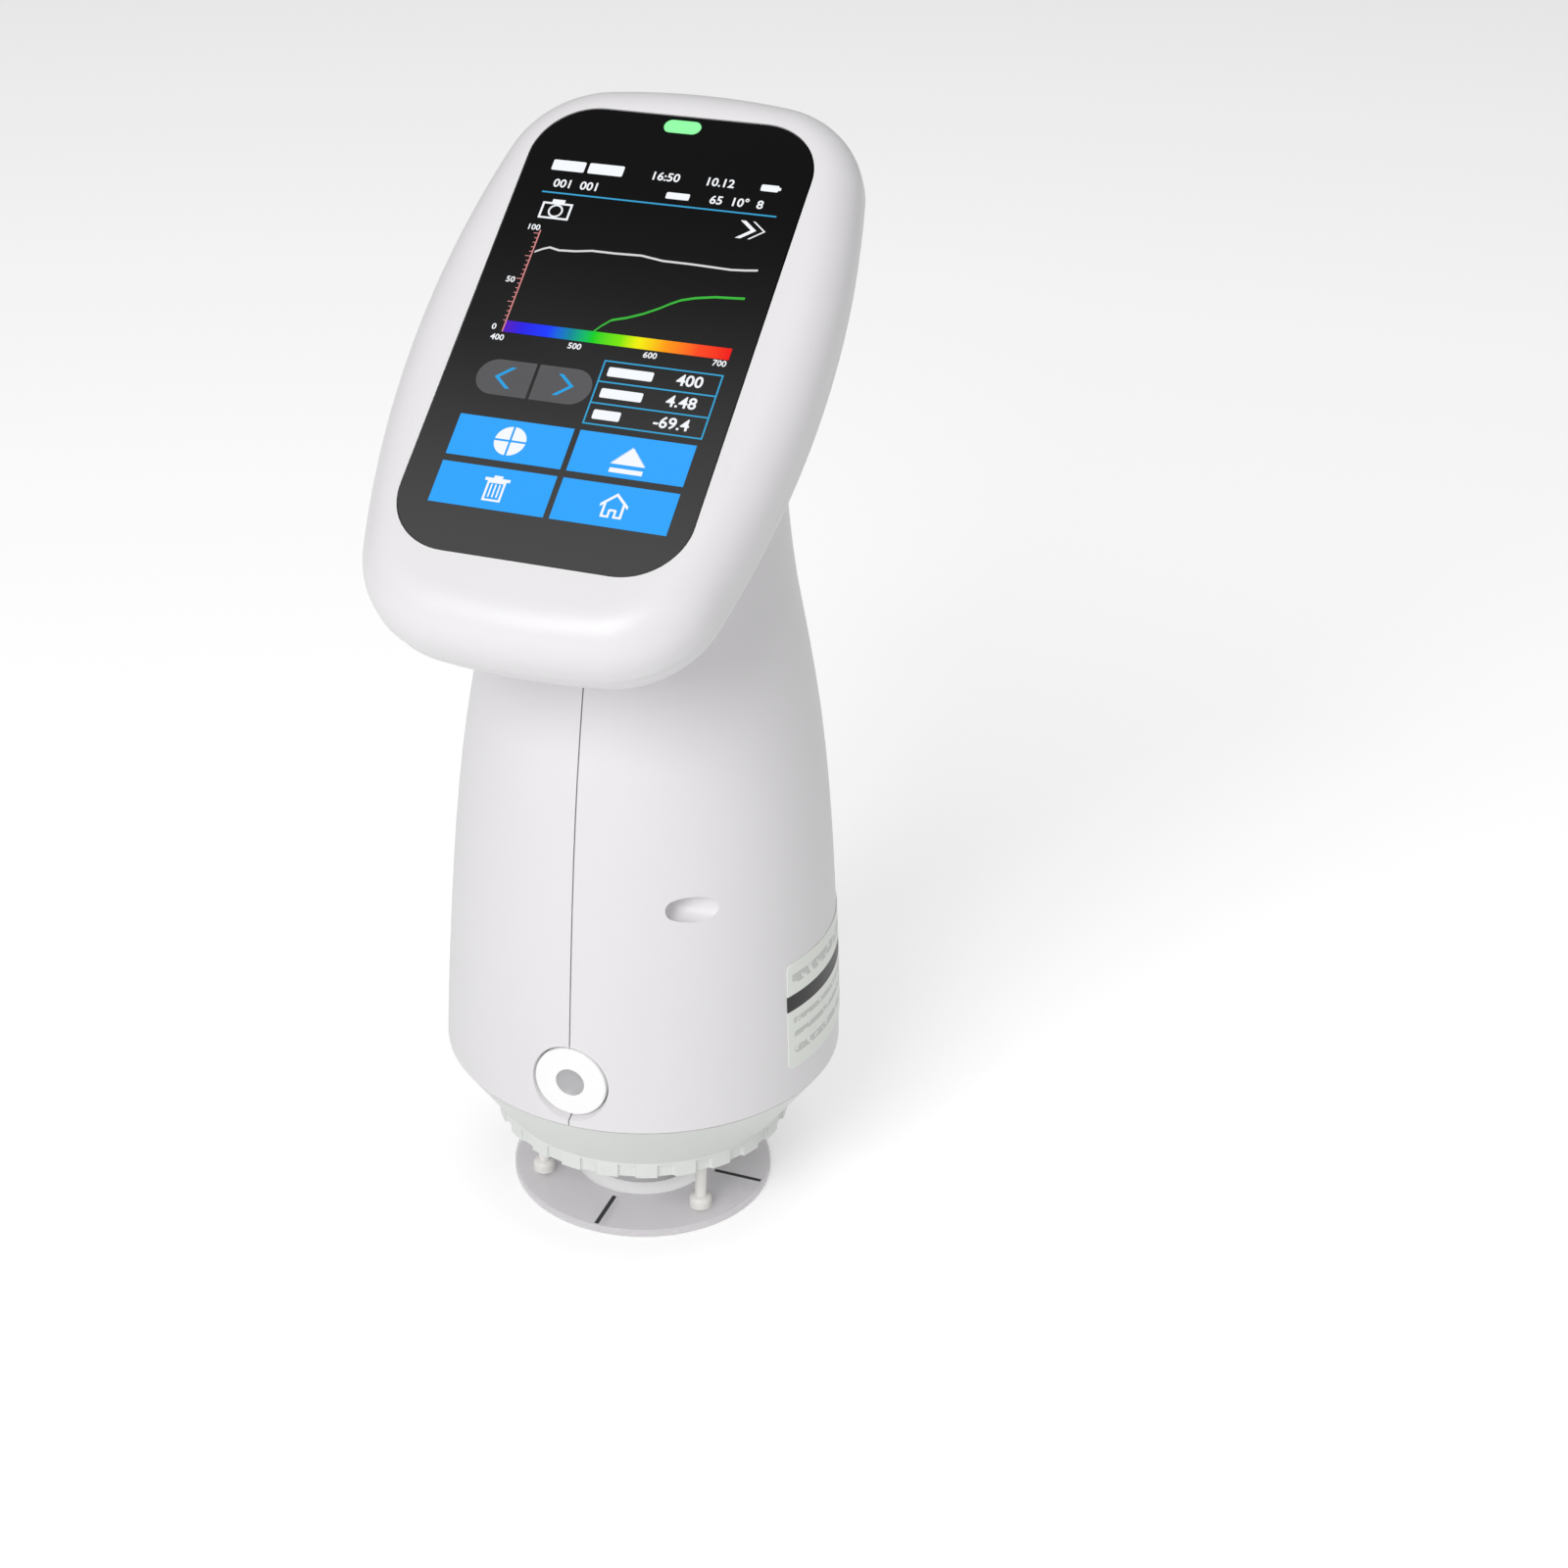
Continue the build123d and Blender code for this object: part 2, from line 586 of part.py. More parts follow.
def sensing_lens():
    """Double convex lens in the barrel."""
    middle = (BARREL_LOW_Z + BARREL_HIGH_Z) / 2
    ball = Sphere(LENS_BALL_RADIUS)
    shift = LENS_BALL_RADIUS - LENS_THICK / 2
    lens = (Pos(0, 0, middle - shift) * ball) & (Pos(0, 0, middle + shift) * ball)
    return lens & cylinder_between(BARREL_BORE, middle - LENS_THICK, middle + LENS_THICK)


def spectral_sensor():
    """Closed housing of the spectral sensor on top of the lens barrel."""
    x, y, z = SPECTRO_SIZE
    back = SPINE_Y - SEAT_GAP
    housing = box_between((-x / 2, back - y, BARREL_HIGH_Z), (x / 2, back, BARREL_HIGH_Z + z))
    housing = fillet(housing.edges().filter_by(Axis.Z), 2.0)
    return housing - cylinder_between(3.0, BARREL_HIGH_Z - 1, BARREL_HIGH_Z + 5)


def sensor_board():
    """Board on the front of the spectral sensor's housing."""
    x, y, z = SPECTRO_SIZE
    front = SPINE_Y - SEAT_GAP - y
    low = BARREL_HIGH_Z + 1
    return box_between((1 - x / 2, front - BOARD_THICK, low), (x / 2 - 1, front, low + z - 3))


def spine():
    """Upright frame plate on two legs, carrying the battery and the sensor."""
    half = SPINE_WIDTH / 2
    leg = NOSE_FLANGE_RADIUS + 7.0
    back = SPINE_Y + SPINE_THICK
    plate = box_between((-half, SPINE_Y, FRAME_TOP_Z + 8), (half, back, SPINE_TOP_Z))
    legs = box_between((-leg, SPINE_Y, FRAME_TOP_Z), (leg, back, FRAME_TOP_Z + 12))
    arch = NOSE_FLANGE_RADIUS + 1.0
    legs -= box_between((-arch, SPINE_Y - 1, FRAME_TOP_Z - 1), (arch, back + 1, FRAME_TOP_Z + 5))
    front = SPINE_Y - 14.0
    joined = SPINE_Y + 0.5
    rest_z = BATTERY_Z - SEAT_GAP
    lip_z = BATTERY_Z + BATTERY_SIZE[2] + SEAT_GAP
    rest = box_between((-half, front, rest_z - 2.0), (half, joined, rest_z))
    lip = box_between((-half, front, lip_z), (half, joined, lip_z + 2.0))
    return plate + legs + rest + lip


def battery_pack():
    """Flat lithium cell pack between the ledges of the spine."""
    x, y, z = BATTERY_SIZE
    back = SPINE_Y - SEAT_GAP
    pack = box_between((-x / 2, back - y, BATTERY_Z), (x / 2, back, BATTERY_Z + z))
    return fillet(pack.edges().filter_by(Axis.Z), 4.0)


def camera_module():
    """Small aiming camera on the lens barrel's flange."""
    flange_z = FRAME_TOP_Z + NOSE_FLANGE_THICK
    low = flange_z + BARREL_FLANGE_THICK + SEAT_GAP
    body = box_between((9.0, -4.0, low), (16.5, 4.0, low + 2.4))
    lens = cylinder_between(2.2, low + 2.3, low + 3.6, (12.7, 0.0))
    return fillet(body.edges().filter_by(Axis.Z), 0.8) + lens


def port_board():
    """Small board behind the spine that carries the charging socket."""
    low = PORT_Z - PORT_HEIGHT / 2 - BOARD_THICK + 0.1
    back = SPINE_Y + SPINE_THICK
    half = PORT_BOARD_HALF
    return box_between((-half, back, low), (half, PORT_BOARD_END, low + BOARD_THICK))


def charging_socket():
    """Metal shell of the charging and data socket."""
    low = PORT_Z - PORT_HEIGHT / 2 + 0.1
    high = PORT_Z + PORT_HEIGHT / 2 - 0.1
    half = PORT_WIDTH / 2 - 0.1
    shell = box_between((-half, PORT_FACE_Y - 7.5, low), (half, PORT_FACE_Y, high))
    shell = fillet(shell.edges().filter_by(Axis.Y), 1.4)
    mouth = box_between(
        (0.3 - half, PORT_FACE_Y - 6.0, low + 0.3), (half - 0.3, PORT_FACE_Y + 1, high - 0.3))
    mouth = fillet(mouth.edges().filter_by(Axis.Y), 1.1)
    tongue = box_between(
        (-3.3, PORT_FACE_Y - 6.5, PORT_Z - 0.35), (3.3, PORT_FACE_Y - 1.0, PORT_Z + 0.35))
    return shell - mouth + tongue


def disc_facing_front(radius, low_y, high_y):
    """Disc with its axis along Y at the measure key's height."""
    middle = (low_y + high_y) / 2
    return Pos(0, middle, KEY_Z) * Rot(90, 0, 0) * Cylinder(radius, high_y - low_y)


def key_sphere_radius():
    """Radius of the ball whose cap is the key's dimple."""
    return (KEY_DIMPLE_RADIUS**2 + KEY_DIMPLE_DEPTH**2) / (2 * KEY_DIMPLE_DEPTH)


def measure_key():
    """Round key with a flange behind the shells, a stem and a hole for its centre insert."""
    back = KEY_FACE_Y + KEY_THICK
    cap = disc_facing_front(KEY_RADIUS, KEY_FACE_Y, back)
    cap = fillet(cap.edges().sort_by(Axis.Y)[0], 0.5)
    flange = disc_facing_front(KEY_FLANGE_RADIUS, back, back + KEY_FLANGE_THICK)
    stem = disc_facing_front(KEY_STEM_RADIUS, back, SWITCH_FRONT_Y - KEY_TRAVEL - 0.1)
    seat = disc_facing_front(KEY_DIMPLE_RADIUS, KEY_FACE_Y - 1, KEY_FACE_Y + KEY_DIMPLE_DEPTH + 0.7)
    return cap + flange + stem - seat


def key_insert():
    """Dished centre of the measure key."""
    front = KEY_FACE_Y + 0.05
    insert = disc_facing_front(KEY_DIMPLE_RADIUS - 0.03, front, KEY_FACE_Y + KEY_DIMPLE_DEPTH + 0.7)
    ball = key_sphere_radius()
    return insert - Pos(0, front + KEY_DIMPLE_DEPTH - ball, KEY_Z) * Sphere(ball)


def key_switch():
    """Snap switch behind the key's stem."""
    body = Pos(0, KEY_BOARD_Y - 0.5, KEY_Z) * Box(5.2, 1.0, 5.2)
    return body + disc_facing_front(1.7, SWITCH_FRONT_Y, KEY_BOARD_Y - 0.9)


def key_board():
    """Board behind the key that carries its switch, standing on the base frame's notch."""
    back = KEY_BOARD_Y + BOARD_THICK
    return box_between((-7.5, KEY_BOARD_Y, FRAME_Z - 5.5), (7.5, back, FRAME_TOP_Z + 7.0))


def shell_cuts():
    """Everything that both body shells are cut by."""
    seat_y = KEY_FACE_Y + KEY_THICK
    ring_back = -sqrt(body_radius(KEY_Z) ** 2 - KEY_RING_RADIUS**2) + 0.9
    cuts = disc_facing_front(KEY_RADIUS + 0.12, -RIM_RADIUS - 3, -RIM_RADIUS + 8)
    bevel = Cone(KEY_RING_RADIUS + 2.0, KEY_RADIUS + 0.12, 8.0)
    bevel = Pos(0, ring_back - 4.0, KEY_Z) * Rot(-90, 0, 0) * bevel
    step = disc_facing_front(KEY_RING_RADIUS, -RIM_RADIUS - 3, ring_back)
    cuts += step & bevel
    cuts += disc_facing_front(KEY_FLANGE_RADIUS + 0.4, seat_y - 0.1, seat_y + 12)
    half, rise = PORT_WIDTH / 2, PORT_HEIGHT / 2
    port = box_between(
        (-half, PORT_FACE_Y - 2, PORT_Z - rise), (half, RIM_RADIUS + 5, PORT_Z + rise))
    cuts += fillet(port.edges().filter_by(Axis.Y), 1.5)
    return cuts


def scoop(grow=0.0):
    """Round-bottomed scoop that runs out towards the back of the right shell."""
    angle = radians(SCOOP_ANGLE)
    reach = body_radius(SCOOP_Z)
    centre = (reach * sin(angle), -reach * cos(angle), SCOOP_Z)
    bar = Cylinder(SCOOP_RADIUS + grow, SCOOP_LENGTH)
    bar += Pos(0, 0, -SCOOP_LENGTH / 2) * Sphere(SCOOP_RADIUS + grow)
    sunk = Pos(*SCOOP_SHIFT, 0) * Rot(0, 0, -SCOOP_DIP) * Rot(0, 90, 0) * bar
    return Pos(*centre) * Rot(0, 0, SCOOP_ANGLE) * sunk


def body_shell(side):
    """Left (-1) or right (1) body shell, split on the front and back seam."""
    wall = body_wall(side)
    inside = body_half(-BODY_WALL / 2, side)
    for x, y in shell_screw_places():
        if x * side < 0:
            continue
        rib = box_between((0, -1.2, 0), (6.0, 1.2, SHELL_BOSS_HEIGHT))
        boss = Pos(x, y, FRAME_TOP_Z) * Rot(0, 0, degrees(atan2(y, x))) * rib
        top = FRAME_TOP_Z + SHELL_BOSS_HEIGHT
        boss += cylinder_between(SHELL_BOSS_RADIUS, FRAME_TOP_Z, top, (x, y))
        wall += boss & inside
        wall -= cylinder_between(SCREW_RADIUS, FRAME_TOP_Z - 1, FRAME_TOP_Z + 7, (x, y))
    if side > 0:
        wall += scoop(SCOOP_WALL) & inside
        wall -= scoop()
    return wall - shell_cuts()


def shell_screws():
    """Four screws up through the base frame into the shells' bosses."""
    return Compound(children=[Pos(x, y, FRAME_Z) * screw(9.0) for x, y in shell_screw_places()])


def rating_label():
    """Blank label wrapped round the right side of the body."""
    outer = profile_curve(LABEL_THICK)
    inner = profile_curve(LABEL_GAP)
    sides = [Line(outer @ 0, inner @ 0), Line(outer @ 1, inner @ 1)]
    skin = revolve(make_face([outer, inner, *sides]), Axis.Z, LABEL_SWEEP)
    reach = 2 * RIM_RADIUS
    skin = skin & box_between((-reach, -reach, LABEL_LOW_Z), (reach, reach, LABEL_HIGH_Z))
    corners = skin.edges().filter_by(lambda e: e.length < 1.0)
    skin = fillet(corners, LABEL_CORNER)
    return Rot(0, 0, LABEL_START_ANGLE - 90) * skin


def front_bezel():
    """Front shell of the head with the glass seat, the window and four screw bosses."""
    slab = head_slab(0.0, -BEZEL_DEPTH, 0)
    slab = fillet(slab.faces().sort_by(Axis.Z)[-1].edges(), BEZEL_ROUND)
    hollow = head_slab(HEAD_WALL, -BEZEL_DEPTH - 1, -HEAD_WALL)
    hollow = fillet(hollow.faces().sort_by(Axis.Z)[-1].edges(), BEZEL_ROUND - HEAD_WALL)
    shell = slab - hollow
    for place in head_screw_places():
        shell += cylinder_between(HEAD_BOSS_RADIUS, -BEZEL_DEPTH, 0.5 - HEAD_WALL, place) & slab
        shell -= cylinder_between(SCREW_RADIUS, -BEZEL_DEPTH - 1, 6.0 - BEZEL_DEPTH, place)
    seat = -GLASS_THICK - GASKET_THICK
    shell -= rounded_slab(GLASS_HALF_WIDTH, GLASS_HALF_LENGTH, GLASS_CORNER, seat, 1)
    width = GLASS_HALF_WIDTH - GLASS_LEDGE
    length = GLASS_HALF_LENGTH - GLASS_LEDGE
    shell -= rounded_slab(width, length, GLASS_CORNER - GLASS_LEDGE, -4, 1)
    return shell - lamp_pill(0.3, -4, 1)


def lamp_pill(grow, low, high):
    """Pill-shaped bar at the indicator lamp."""
    outline = SlotOverall(LAMP_LENGTH + 2 * grow, LAMP_WIDTH + 2 * grow)
    return Pos(0, LAMP_V, low) * extrude(outline, high - low)


def cover_glass():
    """Printed front glass of the head."""
    half = GLASS_HALF_WIDTH - GLASS_GAP
    length = GLASS_HALF_LENGTH - GLASS_GAP
    glass = rounded_slab(half, length, GLASS_CORNER - GLASS_GAP, -GLASS_THICK, 0)
    glass = chamfer(glass.faces().sort_by(Axis.Z)[-1].edges(), 0.2)
    return glass - lamp_pill(GLASS_GAP, -3, 1)


def glass_gasket():
    """Thin gasket frame under the edge of the glass."""
    half = GLASS_HALF_WIDTH - 2 * GLASS_GAP
    length = GLASS_HALF_LENGTH - 2 * GLASS_GAP
    low = -GLASS_THICK - GASKET_THICK
    frame = rounded_slab(half, length, GLASS_CORNER - 0.3, low, -GLASS_THICK)
    frame -= rounded_slab(half - 1.6, length - 1.6, GLASS_CORNER - 2.0, low - 1, 0)
    return frame - lamp_pill(0.3, low - 1, 0)


def indicator_lens():
    """Pill-shaped light guide of the indicator lamp, level with the glass."""
    lens = lamp_pill(0.0, BOARD_N + 1.2, -0.05)
    return chamfer(lens.faces().sort_by(Axis.Z)[-1].edges(), 0.15)


def display_panel():
    """Display module behind the window of the bezel."""
    top = -HEAD_WALL - 0.1
    panel = Box(DISPLAY_WIDTH, DISPLAY_LENGTH, DISPLAY_THICK)
    panel = Pos(0, DISPLAY_V, top - DISPLAY_THICK / 2) * panel
    return fillet(panel.edges().filter_by(Axis.Z), 1.0)


def display_tray():
    """Sheet metal tray behind the display with folded sides."""
    top = -HEAD_WALL - 0.1
    low = top - DISPLAY_THICK
    half = DISPLAY_WIDTH / 2 + 0.15
    long = DISPLAY_LENGTH / 2 + 0.15
    back, front = DISPLAY_V - long, DISPLAY_V + long
    tray = box_between((-half - 0.5, back - 0.5, low - 0.6), (half + 0.5, front + 0.5, top - 0.3))
    tray -= box_between((-half, back, low - 0.05), (half, front, top + 1))
    for v in (-26, 0, 26):
        tray -= Pos(0, v, low) * Box(18, 12, 4)
    return tray


def main_board():
    """Main circuit board of the head."""
    half = BOARD_HALF_U
    board = box_between((-half, BOARD_LOW_V, BOARD_N - BOARD_THICK), (half, BOARD_HIGH_V, BOARD_N))
    return fillet(board.edges().filter_by(Axis.Z), 2.0)


def board_parts():
    """Chips, connector and lamp on the main board."""
    low = BOARD_N - BOARD_THICK
    parts = []
    for (u0, v0), (u1, v1), thick in CHIP_BLOCKS:
        parts.append(box_between((u0, v0, low - thick), (u1, v1, low)))
    parts.append(box_between((-1.6, LAMP_V - 0.9, BOARD_N), (1.6, LAMP_V + 0.9, BOARD_N + 1.0)))
    return Compound(children=parts)


def buzzer():
    """Round buzzer under the main board."""
    low = BOARD_N - BOARD_THICK
    body = cylinder_between(BUZZER_RADIUS, low - BUZZER_HEIGHT, low, BUZZER_PLACE)
    return body - cylinder_between(0.8, low - 3, low - 1, BUZZER_PLACE)


def rear_cover():
    """Rear shell of the head with the collar-like opening for the neck and four screw wells."""
    high = -(BEZEL_DEPTH + PARTING_GAP)
    slab = head_slab(COVER_INSET, COVER_BACK_N, high)
    slab = fillet(slab.faces().sort_by(Axis.Z)[0].edges(), COVER_ROUND)
    hollow = head_slab(COVER_INSET + HEAD_WALL, COVER_BACK_N + HEAD_WALL, high + 1)
    hollow = fillet(hollow.faces().sort_by(Axis.Z)[0].edges(), COVER_ROUND - HEAD_WALL)
    cover = slab - hollow
    low = COVER_BACK_N - 1
    for place in head_screw_places():
        cover += cylinder_between(HEAD_BOSS_RADIUS, COVER_BACK_N + 0.5, high, place) & slab
        cover -= cylinder_between(SCREW_RADIUS + SEAT_GAP, low, high + 1, place)
        cover -= cylinder_between(HEAD_SCREW_HEAD + 0.2, low, HEAD_SCREW_N, place)
    mouth = Ellipse(NECK_HALF_WIDTH + SEAT_GAP, NECK_HALF_LENGTH + SEAT_GAP)
    end = Pos(0, NECK_CENTRE_V, COVER_BACK_N + HEAD_WALL - 1) * extrude(mouth, 2)
    cover = in_head(cover - end)
    for side in (-1, 1):
        cover -= body_half(SEAT_GAP, side, -NECK_OVERLAP, ROUND_ROWS)
    return cover


def head_screws():
    """Four screws in the wells of the rear cover."""
    length = 5.0 - HEAD_SCREW_N - BEZEL_DEPTH
    places = head_screw_places()
    screws = [Pos(u, v, HEAD_SCREW_N) * screw(length, HEAD_SCREW_HEAD) for u, v in places]
    return Compound(children=[in_head(one) for one in screws])


def build_parts():
    """Every sub-part by the name of its node."""
    parts = {
        "locating_plate": locating_plate(),
        "guide_pins": guide_pins(),
        "plate_springs": plate_springs(),
        "twist_collar": twist_collar(),
        "retainer_ring": retainer_ring(),
        "retainer_screws": retainer_screws(),
        "base_frame": base_frame(),
        "aperture_nose": aperture_nose(),
        "nose_screws": nose_screws(),
        "aperture_window": aperture_window(),
        "sphere_lower": sphere_half(False),
        "sphere_upper": sphere_half(True),
        "source_board": source_board(),
        "source_lamps": source_lamps(),
        "lens_barrel": lens_barrel(),
        "sensing_lens": sensing_lens(),
        "spectral_sensor": spectral_sensor(),
        "sensor_board": sensor_board(),
        "camera_module": camera_module(),
        "spine": spine(),
        "battery_pack": battery_pack(),
        "port_board": port_board(),
        "charging_socket": charging_socket(),
        "left_shell": body_shell(-1),
        "right_shell": body_shell(1),
        "shell_screws": shell_screws(),
        "rating_label": rating_label(),
        "measure_key": measure_key(),
        "key_insert": key_insert(),
        "key_switch": key_switch(),
        "key_board": key_board(),
        "rear_cover": rear_cover(),
        "head_screws": head_screws(),
    }
    head_parts = {
        "front_bezel": front_bezel,
        "cover_glass": cover_glass,
        "glass_gasket": glass_gasket,
        "indicator_lens": indicator_lens,
        "display_panel": display_panel,
        "display_tray": display_tray,
        "main_board": main_board,
        "board_parts": board_parts,
        "buzzer": buzzer,
    }
    for name, make in head_parts.items():
        parts[name] = in_head(make())
    return parts


os.makedirs("parts", exist_ok=True)
for node, solid in build_parts().items():
    export_step(solid, f"parts/{node}.step")
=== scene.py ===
"""Dressed model of a hand-held colour meter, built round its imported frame."""
from __future__ import annotations

import logging
import math
from dataclasses import dataclass, field
from enum import Enum
from typing import ClassVar, Iterable, Sequence, Union

import bmesh
import bpy
from mathutils import Matrix, Vector

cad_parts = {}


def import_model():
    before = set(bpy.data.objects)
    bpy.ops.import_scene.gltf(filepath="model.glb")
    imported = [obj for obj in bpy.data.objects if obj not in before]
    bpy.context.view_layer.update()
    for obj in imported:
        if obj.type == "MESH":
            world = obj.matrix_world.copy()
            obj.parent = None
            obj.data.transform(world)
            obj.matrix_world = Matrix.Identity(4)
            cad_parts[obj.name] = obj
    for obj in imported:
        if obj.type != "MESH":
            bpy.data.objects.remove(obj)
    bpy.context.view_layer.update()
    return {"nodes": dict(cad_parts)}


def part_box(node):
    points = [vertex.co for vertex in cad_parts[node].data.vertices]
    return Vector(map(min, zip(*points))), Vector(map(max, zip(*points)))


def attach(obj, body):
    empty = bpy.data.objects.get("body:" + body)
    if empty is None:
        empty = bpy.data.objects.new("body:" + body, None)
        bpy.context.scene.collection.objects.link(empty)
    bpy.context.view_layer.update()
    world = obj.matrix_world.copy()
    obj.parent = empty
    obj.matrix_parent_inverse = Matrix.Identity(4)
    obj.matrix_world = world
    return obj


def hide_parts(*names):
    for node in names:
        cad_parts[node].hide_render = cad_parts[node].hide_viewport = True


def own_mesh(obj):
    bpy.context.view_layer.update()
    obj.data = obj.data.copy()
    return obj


LOG = logging.getLogger("colour_meter")
MM = 0.001
BLACK = (0.0, 0.0, 0.0, 1.0)
WHITE = (1.0, 1.0, 1.0, 1.0)
Colour = tuple[float, float, float, float]
Point = tuple[float, float]
Point3 = tuple[float, float, float]
Feed = Union["Sock", float, Point3, Colour]


class Carrier(Enum):
    """Bodies that pieces can ride on."""

    HOUSING = "housing"
    COLLAR = "collar"
    PLATE = "plate"


class Layer(Enum):
    """Heights of the screen's printed layers over the glass, in millimetres."""

    TILE = 0.020
    MARK = 0.045


def shade(code: str) -> Colour:
    """Turn a display colour into linear values.

    Args:
        code: six hexadecimal digits.

    Returns:
        Red, green, blue and an alpha of 1.
    """
    parts = [int(code[k:k + 2], 16) / 255 for k in (0, 2, 4)]
    linear = [c / 12.92 if c <= 0.04045 else ((c + 0.055) / 1.055) ** 2.4 for c in parts]
    return (linear[0], linear[1], linear[2], 1.0)


def scaled(colour: Colour, factor: float) -> Colour:
    """Return a colour made lighter or darker by a factor."""
    red, green, blue, alpha = colour
    return (min(1.0, red * factor), min(1.0, green * factor), min(1.0, blue * factor), alpha)


class Sock:
    """Output socket of a shader node that takes part in Python expressions."""

    def __init__(self, nodes: "Nodes", socket: bpy.types.NodeSocket) -> None:
        """Keep the socket and the nodes that it is one of."""
        self.nodes = nodes
        self.socket = socket

    def _math(self, operation: str, first: Feed, second: Feed) -> "Sock":
        """Add one Math node for an operation on two values."""
        return self.nodes.node("ShaderNodeMath", {"operation": operation}, {0: first, 1: second})

    def __add__(self, other: Feed) -> "Sock":
        """Add a value."""
        return self._math("ADD", self, other)

    def __radd__(self, other: Feed) -> "Sock":
        """Add to a value."""
        return self._math("ADD", other, self)

    def __sub__(self, other: Feed) -> "Sock":
        """Take a value away."""
        return self._math("SUBTRACT", self, other)

    def __rsub__(self, other: Feed) -> "Sock":
        """Take this away from a value."""
        return self._math("SUBTRACT", other, self)

    def __mul__(self, other: Feed) -> "Sock":
        """Multiply by a value."""
        return self._math("MULTIPLY", self, other)

    def __rmul__(self, other: Feed) -> "Sock":
        """Multiply a value."""
        return self._math("MULTIPLY", other, self)

    def __truediv__(self, other: Feed) -> "Sock":
        """Divide by a value."""
        return self._math("DIVIDE", self, other)

    def ramp(self, low: float, high: float) -> "Sock":
        """Rise smoothly from 0 at one value to 1 at another.

        Args:
            low: value that gives 0.
            high: value that gives 1.

        Returns:
            The smoothed and clamped share.
        """
        settings = {"interpolation_type": "SMOOTHSTEP"}
        return self.nodes.node("ShaderNodeMapRange", settings, {0: self, 1: low, 2: high})

    def between(self, low: float, high: float, soft: float) -> "Sock":
        """Mask that is 1 between two values, with soft edges."""
        return self.ramp(low - soft, low + soft) * (1.0 - self.ramp(high - soft, high + soft))


class Nodes:
    """Node tree in the making."""

    def __init__(self, tree: bpy.types.NodeTree) -> None:
        """Keep the tree that the nodes go into."""
        self.tree = tree

    def join(self, value: Feed, socket: bpy.types.NodeSocket) -> None:
        """Link a socket, or set it to a constant."""
        if isinstance(value, Sock):
            self.tree.links.new(value.socket, socket)
        else:
            socket.default_value = value

    def node(
        self,
        kind: str,
        settings: dict[str, object] | None = None,
        inputs: dict[int | str, Feed] | None = None,
        output: int | str = 0,
    ) -> Sock:
        """Add one node.

        Args:
            kind: the node's type.
            settings: its properties, or a ramp's stops, which are set first.
            inputs: values or links by input.
            output: which output to return.

        Returns:
            The chosen output.
        """
        made = self.tree.nodes.new(kind)
        for key, value in (settings or {}).items():
            if key == "stops":
                self._set_stops(made.color_ramp, value)
            else:
                setattr(made, key, value)
        for key, value in (inputs or {}).items():
            self.join(value, made.inputs[key])
        return Sock(self, made.outputs[output])

    @staticmethod
    def _set_stops(ramp: bpy.types.ColorRamp, stops: Sequence[tuple[float, Colour]]) -> None:
        """Give a colour ramp its stops."""
        while len(ramp.elements) < len(stops):
            ramp.elements.new(0.5)
        for element, (position, colour) in zip(ramp.elements, stops):
            element.position = position
            element.color = colour

    def place(self) -> Sock:
        """Position on the object, in metres."""
        return self.node("ShaderNodeTexCoord", output="Object")

    def axis(self, name: str) -> Sock:
        """One coordinate of the position on the object."""
        return self.node("ShaderNodeSeparateXYZ", None, {0: self.place()}, name)

    def noise(self, scale: float, detail: float = 2.0) -> Sock:
        """Noise over the object's surface.

        Args:
            scale: patches per metre, roughly.
            detail: number of finer layers.

        Returns:
            A value from 0 to 1.
        """
        inputs = {"Vector": self.place(), "Scale": scale, "Detail": detail, "Roughness": 0.55}
        return self.node("ShaderNodeTexNoise", None, inputs)

    def tint(self, mask: Feed, low: Feed, high: Feed) -> Sock:
        """Mix two colours by a mask."""
        return self.node("ShaderNodeMix", {"data_type": "RGBA"}, {0: mask, 6: low, 7: high}, 2)


class Recipe(Nodes):
    """One material in the making, with a Principled shader as its surface."""

    def __init__(self, name: str) -> None:
        """Start with the surface shader alone.

        Args:
            name: name of the material.
        """
        self.material = bpy.data.materials.new(name)
        self.material.use_nodes = True
        super().__init__(self.material.node_tree)
        self.tree.nodes.clear()
        self.surface = self.tree.nodes.new("ShaderNodeBsdfPrincipled")
        output = self.tree.nodes.new("ShaderNodeOutputMaterial")
        self.tree.links.new(self.surface.outputs[0], output.inputs[0])

    def set(self, **values: Feed) -> None:
        """Set or link sockets of the surface shader, named with underscores for spaces."""
        for key, value in values.items():
            self.join(value, self.surface.inputs[key.replace("_", " ")])

    def relief(self, height: Sock, depth: float) -> None:
        """Raise the surface by a height map.

        Args:
            height: values from 0 to 1.
            depth: the full height in metres.
        """
        inputs = {"Strength": 1.0, "Distance": depth, "Height": height}
        self.set(Normal=self.node("ShaderNodeBump", None, inputs))

    def lit(self, colour: Feed, strength: float = 1.0) -> None:
        """Make the surface black and glowing, as a part of a screen."""
        self.set(Base_Color=BLACK, Emission_Color=colour, Emission_Strength=strength)
        self.set(Roughness=0.2, Specular_IOR_Level=0.1)


